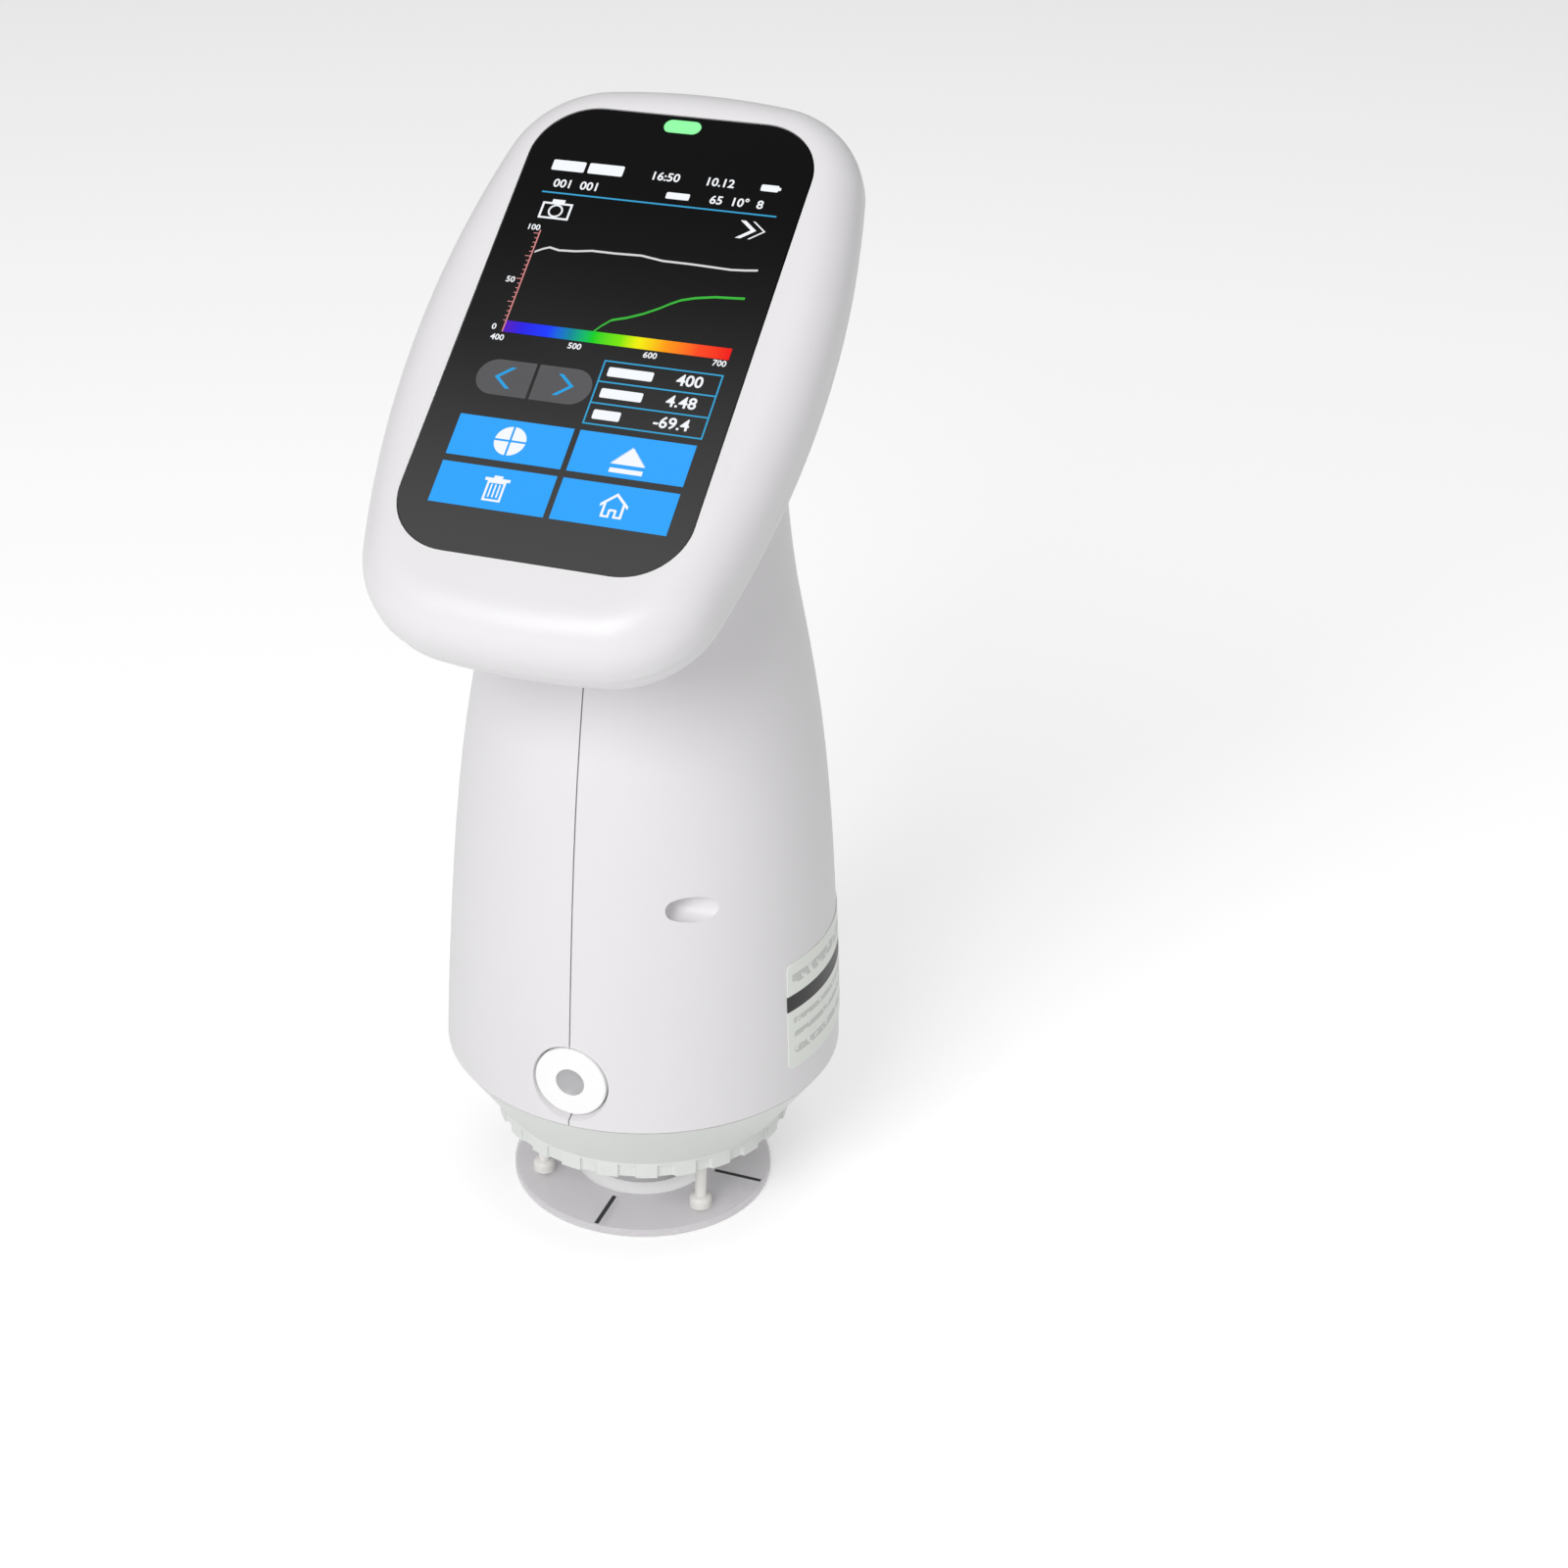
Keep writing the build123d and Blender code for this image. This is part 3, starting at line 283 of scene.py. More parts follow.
@dataclass(frozen=True)
class Moulded:
    """Moulded plastic with a fine texture and faint differences of shade."""

    name: str
    colour: Colour
    rough: float = 0.42
    grain: float = 0.000012
    grain_scale: float = 2600.0
    grain_gloss: float = 0.10
    cloud_scale: float = 28.0
    cloud_gloss: float = 0.06
    variation: float = 0.03
    specular: float = 0.45
    coat: float = 0.0
    coat_rough: float = 0.12

    def make(self) -> bpy.types.Material:
        """Build the material."""
        recipe = Recipe(self.name)
        cloud = recipe.noise(self.cloud_scale, 3.0)
        fine = recipe.noise(self.grain_scale, 2.0)
        low = scaled(self.colour, 1.0 - self.variation)
        high = scaled(self.colour, 1.0 + self.variation * 0.5)
        recipe.set(Base_Color=recipe.tint(cloud, low, high))
        gloss = (fine - 0.5) * self.grain_gloss + (cloud - 0.5) * self.cloud_gloss
        recipe.set(Roughness=self.rough + gloss, Specular_IOR_Level=self.specular)
        recipe.set(Coat_Weight=self.coat, Coat_Roughness=self.coat_rough)
        recipe.relief(fine, self.grain)
        return recipe.material


@dataclass(frozen=True)
class Sheet:
    """Clear or frosted sheet that lets light through by its alpha."""

    name: str
    colour: Colour
    cover: float
    rough: float = 0.12
    cloud_scale: float = 60.0
    smear_scale: float = 900.0
    smear: float = 0.08
    cover_spread: float = 0.04

    def make(self) -> bpy.types.Material:
        """Build the material."""
        recipe = Recipe(self.name)
        cloud = recipe.noise(self.cloud_scale)
        fine = recipe.noise(self.smear_scale)
        recipe.set(Base_Color=recipe.tint(cloud, scaled(self.colour, 0.96), self.colour))
        recipe.set(Alpha=self.cover + (cloud - 0.5) * self.cover_spread)
        recipe.set(Roughness=self.rough + fine * self.smear, Specular_IOR_Level=0.6)
        return recipe.material


@dataclass(frozen=True)
class Metal:
    """Metal with fine drawn or turned lines."""

    name: str
    colour: Colour
    rough: float = 0.32
    line_scale: float = 1800.0
    line_stretch: Point3 = (0.08, 1.0, 1.0)
    line_gloss: float = 0.16
    line_depth: float = 0.000006

    def make(self) -> bpy.types.Material:
        """Build the material."""
        recipe = Recipe(self.name)
        inputs = {"Vector": recipe.place(), "Scale": self.line_stretch}
        stretched = recipe.node("ShaderNodeMapping", None, inputs)
        inputs = {"Vector": stretched, "Scale": self.line_scale}
        lines = recipe.node("ShaderNodeTexNoise", None, inputs)
        recipe.set(Base_Color=recipe.tint(lines, scaled(self.colour, 0.88), self.colour))
        recipe.set(Roughness=self.rough + (lines - 0.5) * self.line_gloss, Metallic=1.0)
        recipe.relief(lines, self.line_depth)
        return recipe.material


@dataclass(frozen=True)
class Circuit:
    """Coated circuit board with tracks under the coating."""

    name: str
    colour: Colour
    track: Colour
    pitch: float = 520.0
    edge: tuple[float, float] = (0.30, 0.34)
    track_depth: float = 0.00002

    def make(self) -> bpy.types.Material:
        """Build the material."""
        recipe = Recipe(self.name)
        inputs = {"Vector": recipe.place(), "Scale": self.pitch}
        cells = recipe.node("ShaderNodeTexVoronoi", {"distance": "CHEBYCHEV"}, inputs)
        track = cells.ramp(*self.edge)
        recipe.set(Base_Color=recipe.tint(track, self.colour, self.track))
        recipe.set(Roughness=0.28 + track * 0.1, Coat_Weight=0.3, Coat_Roughness=0.15)
        recipe.relief(track, self.track_depth)
        return recipe.material


@dataclass(frozen=True)
class Glow:
    """Part of the lit screen, or a lamp, in one colour."""

    name: str
    colour: Colour
    strength: float = 1.0
    mottle: float = 0.03
    pixel_scale: float = 5200.0

    def make(self) -> bpy.types.Material:
        """Build the material."""
        recipe = Recipe(self.name)
        pixels = recipe.noise(self.pixel_scale, 1.0)
        dimmed = scaled(self.colour, 1.0 - self.mottle)
        recipe.lit(recipe.tint(pixels, dimmed, self.colour), self.strength)
        return recipe.material


@dataclass(frozen=True)
class Spectrum:
    """Lit band that runs through the colours of the spectrum from left to right."""

    name: str
    left: float
    right: float
    stops: tuple[tuple[float, str], ...] = (
        (0.0, "5a1bb8"), (0.08, "2a22e8"), (0.2, "1a3cff"), (0.3, "0a8a9a"), (0.4, "10d020"),
        (0.52, "7be800"), (0.6, "f4f000"), (0.72, "ff9a10"), (0.86, "ff4a20"), (1.0, "f01414"),
    )

    def make(self) -> bpy.types.Material:
        """Build the material."""
        recipe = Recipe(self.name)
        along = (recipe.axis("X") - self.left) / (self.right - self.left)
        stops = [(position, shade(code)) for position, code in self.stops]
        recipe.lit(recipe.node("ShaderNodeValToRGB", {"stops": stops}, {0: along}))
        return recipe.material


@dataclass(frozen=True)
class PaintedReflectionGlass:
    """Front glass, printed black behind, with a painted reflection that makes it greyer towards the
    chin.
    """

    name: str
    top: Colour
    chin: Colour
    low: float
    high: float
    rough: float = 0.05
    smear: float = 0.05
    smear_scale: float = 45.0
    specular: float = 0.06

    def make(self) -> bpy.types.Material:
        """Build the material."""
        recipe = Recipe(self.name)
        # Painted reflection: the base colour runs from the near-black top colour to the grey chin
        # colour down the glass.
        share = recipe.axis("Z").ramp(self.high, self.low)
        smear = recipe.noise(self.smear_scale, 3.0)
        recipe.set(Base_Color=recipe.tint(share * share, self.top, self.chin))
        recipe.set(Roughness=self.rough + smear * self.smear, Specular_IOR_Level=self.specular)
        return recipe.material


@dataclass(frozen=True)
class Sticker:
    """Blank film label with a dark band and rows of plain bars, by height in metres."""

    name: str
    paper: Colour
    ink: Colour
    band: tuple[float, float] = (0.0534, 0.0568)
    rows: tuple[tuple[float, float], ...] = (
        (0.0590, 0.0612), (0.0504, 0.0516), (0.0474, 0.0486), (0.0436, 0.0452))
    reach: tuple[float, float] = (-0.0140, 0.0150)
    soft: float = 0.0001
    dash_scale: float = 700.0
    dash_edge: tuple[float, float] = (0.40, 0.44)
    row_ink: float = 0.3
    fibre_scale: float = 1500.0

    def make(self) -> bpy.types.Material:
        """Build the material."""
        recipe = Recipe(self.name)
        height = recipe.axis("Z")
        along = recipe.axis("Y").between(*self.reach, self.soft * 2)
        inked = height.between(*self.band, self.soft * 0.8)
        dashes = recipe.noise(self.dash_scale, 1.0).ramp(*self.dash_edge)
        for low, high in self.rows:
            inked = inked + height.between(low, high, self.soft) * along * dashes * self.row_ink
        fibre = recipe.noise(self.fibre_scale)
        paper = recipe.tint(fibre, scaled(self.paper, 0.97), self.paper)
        recipe.set(Base_Color=recipe.tint(inked, paper, self.ink))
        recipe.set(Roughness=0.36 + fibre * 0.1, Specular_IOR_Level=0.4)
        return recipe.material


Finish = Union[Moulded, Sheet, Metal, Circuit, Glow, Spectrum, PaintedReflectionGlass, Sticker]

BODY_WHITE = Moulded("body_white", shade("e6e4e6"), rough=0.42)
BEZEL_WHITE = Moulded("bezel_white", shade("e6e4e6"), rough=0.36, grain=0.000008)
COLLAR_WHITE = Moulded("collar_white", shade("e0e3e0"), rough=0.38)
KEY_WHITE = Moulded("key_white", shade("fbfbfb"), rough=0.28, grain=0.000004)
INSERT_GREY = Moulded("insert_grey", shade("b4b4b6"), rough=0.4)
FRAME_BLACK = Moulded("frame_black", shade("26262a"), rough=0.6)
NOSE_GREY = Moulded("nose_grey", shade("c9c9cb"), rough=0.35)
PIN_WHITE = Moulded("pin_white", shade("f1efeb"), rough=0.3)
SPHERE_WHITE = Moulded("sphere_white", shade("fafaf6"), rough=0.9, grain=0.00003, specular=0.1)
CHIP_BLACK = Moulded("chip_black", shade("1c1c1e"), rough=0.5, grain=0.00002)
BATTERY_WRAP = Moulded("battery_wrap", shade("39507c"), rough=0.3, coat=0.3)
GASKET_BLACK = Moulded("gasket_black", shade("161616"), rough=0.8, grain=0.00002)
DISPLAY_BLACK = Moulded("display_black", shade("0e0e10"), rough=0.15, grain=0.000002)
CASE_GREY = Metal("sensor_case_grey", shade("77777c"), rough=0.45)
SPINE_ALLOY = Metal("spine_alloy", shade("b8babd"))
STEEL = Metal("plain_steel", shade("b4b4b4"), rough=0.28)
SPRING_WIRE = Metal("spring_wire", shade("a6a6a8"), rough=0.22)
SHEET_STEEL = Metal("tray_sheet", shade("aaaaac"), rough=0.38)
CLEAR_SHEET = Sheet("clear_plate", shade("ece8ec"), 0.42)
OPTIC_GLASS = Sheet("optic_glass", shade("dfe8ea"), 0.30, 0.04)
BOARD_GREEN = Circuit("board_green", shade("0d4a26"), shade("1c6b38"))
LAMP_CREAM = Moulded("lamp_cream", shade("f2e9c8"), rough=0.25)
LAMP_GREEN = Glow("indicator_green", shade("96ffaa"), 1.0)


class Shape:
    """Mesh in the making, in the millimetres of one local frame."""

    def __init__(self) -> None:
        """Start empty."""
        self.mesh = bmesh.new()

    @staticmethod
    def _faces_at(verts: Iterable[bmesh.types.BMVert]) -> list[bmesh.types.BMFace]:
        """List the faces that meet at some corners, each once and always in the same order."""
        return list(dict.fromkeys(face for vert in verts for face in vert.link_faces))

    def _thicken(self, faces: Sequence[bmesh.types.BMFace], height: float) -> None:
        """Raise flat faces into closed plates.

        Args:
            faces: the flat faces.
            height: the plates' thickness.
        """
        grown = bmesh.ops.extrude_face_region(self.mesh, geom=faces, use_keep_orig=True)
        moved = [part for part in grown["geom"] if isinstance(part, bmesh.types.BMVert)]
        bmesh.ops.translate(self.mesh, vec=(0.0, 0.0, height), verts=moved)

    def panel(
        self, low: Point, high: Point, base: float, height: float, corner: float = 0.0
    ) -> None:
        """Add a flat plate.

        Args:
            low: its lower left corner.
            high: its upper right corner.
            base: height of its underside.
            height: its thickness.
            corner: radius of its corners.
        """
        centre = Vector(((low[0] + high[0]) / 2, (low[1] + high[1]) / 2, base))
        size = Matrix.Diagonal((high[0] - low[0], high[1] - low[1], 1.0, 1.0))
        place = Matrix.Translation(centre) @ size
        made = bmesh.ops.create_grid(self.mesh, x_segments=1, y_segments=1, size=0.5, matrix=place)
        faces = self._faces_at(made["verts"])
        if corner:
            rounded = bmesh.ops.bevel(
                self.mesh, geom=made["verts"], offset=corner, segments=6, profile=0.5,
                affect="VERTICES", material=-1)
            faces = self._faces_at(rounded["verts"])
        self._thicken(faces, height)

    def disc(
        self, centre: Point, radius: float, base: float, height: float, sides: int = 48
    ) -> None:
        """Add a flat round plate.

        Args:
            centre: its middle.
            radius: its radius.
            base: height of its underside.
            height: its thickness.
            sides: number of straight sides that make up its edge.
        """
        place = Matrix.Translation((centre[0], centre[1], base))
        made = bmesh.ops.create_circle(
            self.mesh, cap_ends=True, segments=sides, radius=radius, matrix=place)
        self._thicken(self._faces_at(made["verts"]), height)

    def ribbon(self, points: Sequence[Point], shift: Point, base: float, height: float) -> None:
        """Add a flat band that is swept sideways from a line.

        Args:
            points: the line, which may turn back on itself.
            shift: the sideways sweep that gives the band its width.
            base: height of its underside.
            height: its thickness.
        """
        half = (shift[0] / 2, shift[1] / 2)
        verts = [self.mesh.verts.new((u - half[0], v - half[1], base)) for u, v in points]
        edges = [self.mesh.edges.new(pair) for pair in zip(verts, verts[1:])]
        grown = bmesh.ops.extrude_edge_only(self.mesh, edges=edges)
        moved = [part for part in grown["geom"] if isinstance(part, bmesh.types.BMVert)]
        bmesh.ops.translate(self.mesh, vec=(shift[0], shift[1], 0.0), verts=moved)
        faces = [part for part in grown["geom"] if isinstance(part, bmesh.types.BMFace)]
        self._thicken(faces, height)

    def coil(self, foot: Point3, top: float, radius: float, wire: float, turns: int) -> None:
        """Add a coil spring by spinning its wire's outline.

        Args:
            foot: where its axis meets its lower end.
            top: height of its upper end.
            radius: from the axis to the middle of the wire.
            wire: thickness of the wire.
            turns: number of turns.
        """
        steps = 24 * turns
        start = Vector((foot[0] + radius, foot[1], foot[2] + wire / 2))
        place = Matrix.Translation(start) @ Matrix.Rotation(math.pi / 2, 4, "X")
        made = bmesh.ops.create_circle(self.mesh, segments=10, radius=wire / 2, matrix=place)
        outline = list(dict.fromkeys(edge for vert in made["verts"] for edge in vert.link_edges))
        swept = bmesh.ops.spin(
            self.mesh, geom=made["verts"] + outline, cent=foot, axis=(0.0, 0.0, 1.0),
            dvec=(0.0, 0.0, (top - foot[2] - wire) / steps), angle=2 * math.pi * turns, steps=steps)
        last = [part for part in swept["geom_last"] if isinstance(part, bmesh.types.BMEdge)]
        bmesh.ops.holes_fill(self.mesh, edges=outline + last, sides=0)

    def frame(self, low: Point, high: Point, width: float, base: float, height: float) -> None:
        """Add the four sides of a rectangle."""
        self.panel(low, (high[0], low[1] + width), base, height)
        self.panel((low[0], high[1] - width), high, base, height)
        self.panel((low[0], low[1] + width), (low[0] + width, high[1] - width), base, height)
        self.panel((high[0] - width, low[1] + width), (high[0], high[1] - width), base, height)

    def letters(self, words: str, size: float, centre: Point, base: float, height: float) -> None:
        """Add raised figures.

        Args:
            words: the figures.
            size: height of the type.
            centre: middle of the words.
            base: height of their underside.
            height: their thickness.
        """
        curve = bpy.data.curves.new("figures", "FONT")
        curve.body = words
        curve.size = size
        curve.align_x = "CENTER"
        curve.align_y = "CENTER"
        curve.extrude = height / 2
        curve.offset = 0.018 * size
        curve.resolution_u = 3
        holder = bpy.data.objects.new("figures", curve)
        bpy.context.scene.collection.objects.link(holder)
        settled = holder.evaluated_get(bpy.context.evaluated_depsgraph_get())
        flat = bpy.data.meshes.new_from_object(settled)
        flat.transform(Matrix.Translation((centre[0], centre[1], base + height / 2)))
        self.mesh.from_mesh(flat)
        bpy.data.objects.remove(holder)
        bpy.data.curves.remove(curve)
        bpy.data.meshes.remove(flat)

    def finish(
        self, name: str, place: Matrix, material: bpy.types.Material, body: Carrier, slot: str
    ) -> bpy.types.Object:
        """Turn the shape into a piece.

        Args:
            name: the piece's name.
            place: the local frame in metres.
            material: its material.
            body: the body that it rides on.
            slot: not used.

        Returns:
            The piece, with its place in its mesh.
        """
        bmesh.ops.remove_doubles(self.mesh, verts=self.mesh.verts, dist=0.0004)
        bmesh.ops.transform(self.mesh, matrix=place, verts=self.mesh.verts)
        bmesh.ops.recalc_face_normals(self.mesh, faces=self.mesh.faces)
        data = bpy.data.meshes.new(name)
        self.mesh.to_mesh(data)
        self.mesh.free()
        data.materials.append(material)
        piece = bpy.data.objects.new(name, data)
        bpy.context.scene.collection.objects.link(piece)
        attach(piece, body.value)
        LOG.info("built %s on %s", name, body.value)
        return piece


class Workshop:
    """Keeps each finish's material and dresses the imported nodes."""

    def __init__(self, nodes: dict[str, bpy.types.Object]) -> None:
        """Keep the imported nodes.

        Args:
            nodes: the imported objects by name.
        """
        self.nodes = nodes
        self.made: dict[str, bpy.types.Material] = {}

    def material(self, finish: Finish) -> bpy.types.Material:
        """Return a finish's material, built at its first use."""
        if finish.name not in self.made:
            self.made[finish.name] = finish.make()
        return self.made[finish.name]

    def dress(self, finishes: dict[str, Finish]) -> None:
        """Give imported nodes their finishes.

        Args:
            finishes: the finish of each node.
        """
        for name, finish in finishes.items():
            item = self.nodes[name]
            if not item.material_slots:
                item.data.materials.append(None)
            for slot in item.material_slots:
                slot.material = self.material(finish)
            LOG.info("dressed %s in %s", name, finish.name)


@dataclass
class Foot:
    """Locating plate with its cross marks, the pins, the springs and the twist collar."""

    mark_width: float = 0.9
    mark_inner: float = 16.0
    mark_outer: float = 26.0
    mark_height: float = 0.03
    pin_places: tuple[Point, ...] = ((17.2, 12.0), (-17.2, 12.0), (-17.2, -12.0), (17.2, -12.0))
    spring_radius: float = 1.45
    spring_wire: float = 0.7
    spring_turns: int = 4
    travel: float = 3.0
    finishes: ClassVar[dict[str, Finish]] = {
        "locating_plate": CLEAR_SHEET, "guide_pins": PIN_WHITE, "plate_springs": SPRING_WIRE,
        "twist_collar": COLLAR_WHITE, "retainer_ring": FRAME_BLACK, "retainer_screws": STEEL,
    }
    ink: Finish = field(default_factory=lambda: Moulded("mark_ink", shade("3c3c40"), rough=0.5))

    def build(self, shop: Workshop) -> None:
        """Dress the nodes and print the marks on the plate."""
        shop.dress(self.finishes)
        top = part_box("locating_plate")[1][2] / MM
        marks = Shape()
        half = self.mark_width / 2
        for low, high in (
            ((-half, self.mark_inner), (half, self.mark_outer)),
            ((-half, -self.mark_outer), (half, -self.mark_inner)),
            ((self.mark_inner, -half), (self.mark_outer, half)),
            ((-self.mark_outer, -half), (-self.mark_inner, half)),
        ):
            marks.panel(low, high, top, self.mark_height)
        place = Matrix.Scale(MM, 4)
        marks.finish("cross_marks", place, shop.material(self.ink), Carrier.PLATE, "clear_plate")
        self.springs(shop)

    def springs(self, shop: Workshop) -> None:
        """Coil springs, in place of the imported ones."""
        low, high = (corner[2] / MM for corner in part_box("plate_springs"))
        coils = Shape()
        for x, y in self.pin_places:
            foot = (x, y, low)
            coils.coil(foot, high, self.spring_radius, self.spring_wire, self.spring_turns)
        wire = shop.material(SPRING_WIRE)
        place = Matrix.Scale(MM, 4)
        piece = coils.finish("coil_springs", place, wire, Carrier.COLLAR, "spring_steel")
        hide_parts("plate_springs")
        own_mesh(piece)


@dataclass
class Optics:
    """Base frame, aperture nose, sphere, lens and sensor."""

    finishes: ClassVar[dict[str, Finish]] = {
        "base_frame": FRAME_BLACK, "aperture_nose": NOSE_GREY, "nose_screws": STEEL,
        "aperture_window": OPTIC_GLASS, "sphere_lower": SPHERE_WHITE, "sphere_upper": SPHERE_WHITE,
        "source_board": BOARD_GREEN, "source_lamps": LAMP_CREAM, "lens_barrel": CASE_GREY,
        "sensing_lens": OPTIC_GLASS, "spectral_sensor": CASE_GREY, "sensor_board": BOARD_GREEN,
        "camera_module": CHIP_BLACK,
    }

    def build(self, shop: Workshop) -> None:
        """Dress the nodes."""
        shop.dress(self.finishes)


@dataclass
class Handle:
    """Body shells with the label, the key and what they hold."""

    label: Finish = field(
        default_factory=lambda: Sticker("label_film", shade("ecf0ea"), shade("141414")))
    finishes: ClassVar[dict[str, Finish]] = {
        "left_shell": BODY_WHITE, "right_shell": BODY_WHITE, "shell_screws": STEEL,
        "spine": SPINE_ALLOY, "battery_pack": BATTERY_WRAP, "port_board": BOARD_GREEN,
        "charging_socket": STEEL, "measure_key": KEY_WHITE, "key_insert": INSERT_GREY,
        "key_switch": CHIP_BLACK, "key_board": BOARD_GREEN,
    }

    def build(self, shop: Workshop) -> None:
        """Dress the nodes."""
        shop.dress({**self.finishes, "rating_label": self.label})


@dataclass
class ScreenHead:
    """Tilted head with its lit screen; places on the screen are across and up the glass."""

    tilt: float = 36.9
    origin: Point3 = (0.0, -18.1, 186.0)
    relief: float = 0.02
    columns: tuple[Point, Point] = ((-20.9, 0.4), (1.5, 22.6))
    rows: tuple[Point, Point] = ((-28.7, -20.4), (-38.4, -30.1))
    spectrum: tuple[Point, Point] = ((-19.1, -2.8), (23.0, -0.4))
    table: tuple[Point, Point] = ((1.3, -19.1), (23.1, -5.9))
    finishes: ClassVar[dict[str, Finish]] = {
        "rear_cover": BODY_WHITE, "head_screws": STEEL, "front_bezel": BEZEL_WHITE,
        "glass_gasket": GASKET_BLACK, "indicator_lens": LAMP_GREEN, "display_panel": DISPLAY_BLACK,
        "display_tray": SHEET_STEEL, "main_board": BOARD_GREEN, "board_parts": CHIP_BLACK,
        "buzzer": CHIP_BLACK,
    }
    reflectance: ClassVar[tuple[Point, ...]] = (
        (-18.7, 14.6), (-17.4, 15.4), (-16.2, 15.9), (-14.3, 15.5), (-11.2, 15.7), (-8.2, 16.2),
        (-3.8, 16.2), (1.1, 16.4), (5.3, 15.8), (10.6, 15.8), (14.3, 15.7), (18.0, 15.6),
        (20.5, 15.8), (22.8, 16.1),
    )
    sample: ClassVar[tuple[Point, ...]] = (
        (-2.6, -0.5), (-1.5, 0.9), (-0.1, 2.3), (2.6, 3.2), (5.2, 4.4), (7.7, 5.9), (9.5, 7.2),
        (11.0, 8.1), (13.4, 8.9), (16.9, 9.6), (19.7, 9.8), (22.2, 10.0),
    )
    figures: ClassVar[tuple[tuple[str, float, Point], ...]] = (
        ("100", 1.7, (-20.6, 19.8)), ("50", 1.7, (-21.2, 8.2)), ("0", 1.7, (-20.9, -2.0)),
        ("400", 1.7, (-19.6, -4.1)), ("500", 1.7, (-5.0, -4.0)), ("600", 1.7, (9.0, -3.9)),
        ("700", 1.7, (21.6, -3.7)), ("16:50", 2.5, (0.3, 33.6)), ("10.12", 2.5, (10.6, 33.6)),
        ("001  001", 2.5, (-15.6, 29.8)), ("65  10°  8", 2.5, (14.8, 29.8)),
        ("400", 3.2, (17.6, -8.1)), ("4.48", 3.2, (17.4, -12.5)), ("-69.4", 3.2, (16.9, -16.9)),
    )
    word_bars: ClassVar[tuple[tuple[Point, Point], ...]] = (
        ((-21.5, 32.7), (-15.2, 35.0)), ((-14.5, 32.7), (-7.8, 35.0)), ((1.6, 29.1), (6.0, 30.5)),
        ((2.6, -9.1), (10.9, -7.2)), ((2.6, -13.5), (10.3, -11.6)), ((2.6, -17.9), (7.6, -16.0)),
    )

    bar_corner: float = 0.3
    line_width: float = 0.28
    header_line: tuple[Point, Point] = ((-21.6, 27.6), (22.8, 27.9))
    axis_top: float = 19.4
    axis_width: float = 0.24
    tick_count: int = 20
    tick_width: float = 0.16
    pill_rows: Point = (-15.8, -8.5)
    pill_ends: tuple[Point, Point] = ((-20.7, -10.4), (0.8, -9.8))
    pill_corner: float = 3.6
    arrow_centres: Point = (-15.6, -4.2)
    arrow_reach: float = 1.3
    arrow_rows: Point3 = (-9.9, -12.1, -14.3)
    arrow_width: float = 0.85

    def frame(self) -> Matrix:
        """Frame of the glass in metres: across, up the glass, and out of it."""
        place = Matrix.Translation(Vector(self.origin) * MM)
        return place @ Matrix.Rotation(math.radians(self.tilt), 4, "X") @ Matrix.Scale(MM, 4)

    def _done(self, shape: Shape, name: str, finish: Finish, shop: Workshop) -> None:
        """Finish one layer of the screen."""
        shape.finish(name, self.frame(), shop.material(finish), Carrier.HOUSING, "display_black")

    def tiles(self, shop: Workshop) -> None:
        """Four blue keys in two rows."""
        shape = Shape()
        for left, right in self.columns:
            for low, high in self.rows:
                shape.panel((left, low), (right, high), Layer.TILE.value, self.relief)
        self._done(shape, "screen_keys", Glow("screen_blue", shade("35a8ff")), shop)

    def icons(self, shop: Workshop) -> None:
        """White pictures on the four keys, with the blue lines across them."""
        base, high = Layer.MARK.value, self.relief
        white = Shape()
        white.disc((-10.2, -24.6), 2.9, base, high)
        white.ribbon([(8.6, -26.1), (11.9, -22.4), (15.2, -26.1)], (0.0, 0.02), base, high)
        white.panel((8.9, -27.8), (14.9, -26.9), base, high)
        self._triangle(white, (11.9, -24.4), 3.0, base)
        self._bin(white, (-9.8, -34.3), base)
        self._house(white, (12.0, -34.2), base)
        self._done(white, "screen_icons", Glow("screen_white", shade("f8fbff")), shop)
        lines = Shape()
        lines.panel((-13.2, -24.8), (-7.2, -24.4), base + high, high)
        lines.panel((-10.4, -27.6), (-10.0, -21.6), base + high, high)
        self._done(lines, "screen_icon_lines", Glow("screen_blue", shade("35a8ff")), shop)

    def _triangle(self, shape: Shape, centre: Point, reach: float, base: float) -> None:
        """Add a filled triangle that points up, from narrower and narrower bands.

        Args:
            shape: the shape that it goes into.
            centre: its middle.
            reach: half its width at the foot.
            base: height of its underside.
        """
        steps = 12
        depth = 3.4
        u, v = centre
        for k in range(steps):
            half = reach * (1 - k / steps)
            low = v - depth / 2 + depth * k / steps
            shape.panel((u - half, low), (u + half, low + depth / steps), base, self.relief)

    def _bin(self, shape: Shape, centre: Point, base: float) -> None:
        """Add the outline of a waste bin, with its lid and three bars."""
        u, v = centre
        high = self.relief
        bar = 0.14
        shape.panel((u - 2.3, v + 1.5), (u + 2.3, v + 2.1), base, high)
        shape.panel((u - 0.8, v + 2.1), (u + 0.8, v + 2.6), base, high)
        shape.frame((u - 1.7, v - 2.5), (u + 1.7, v + 1.5), 0.4, base, high)
        for offset in (-0.75, 0.0, 0.75):
            middle = u + offset
            shape.panel((middle - bar, v - 1.7), (middle + bar, v + 0.9), base, high)

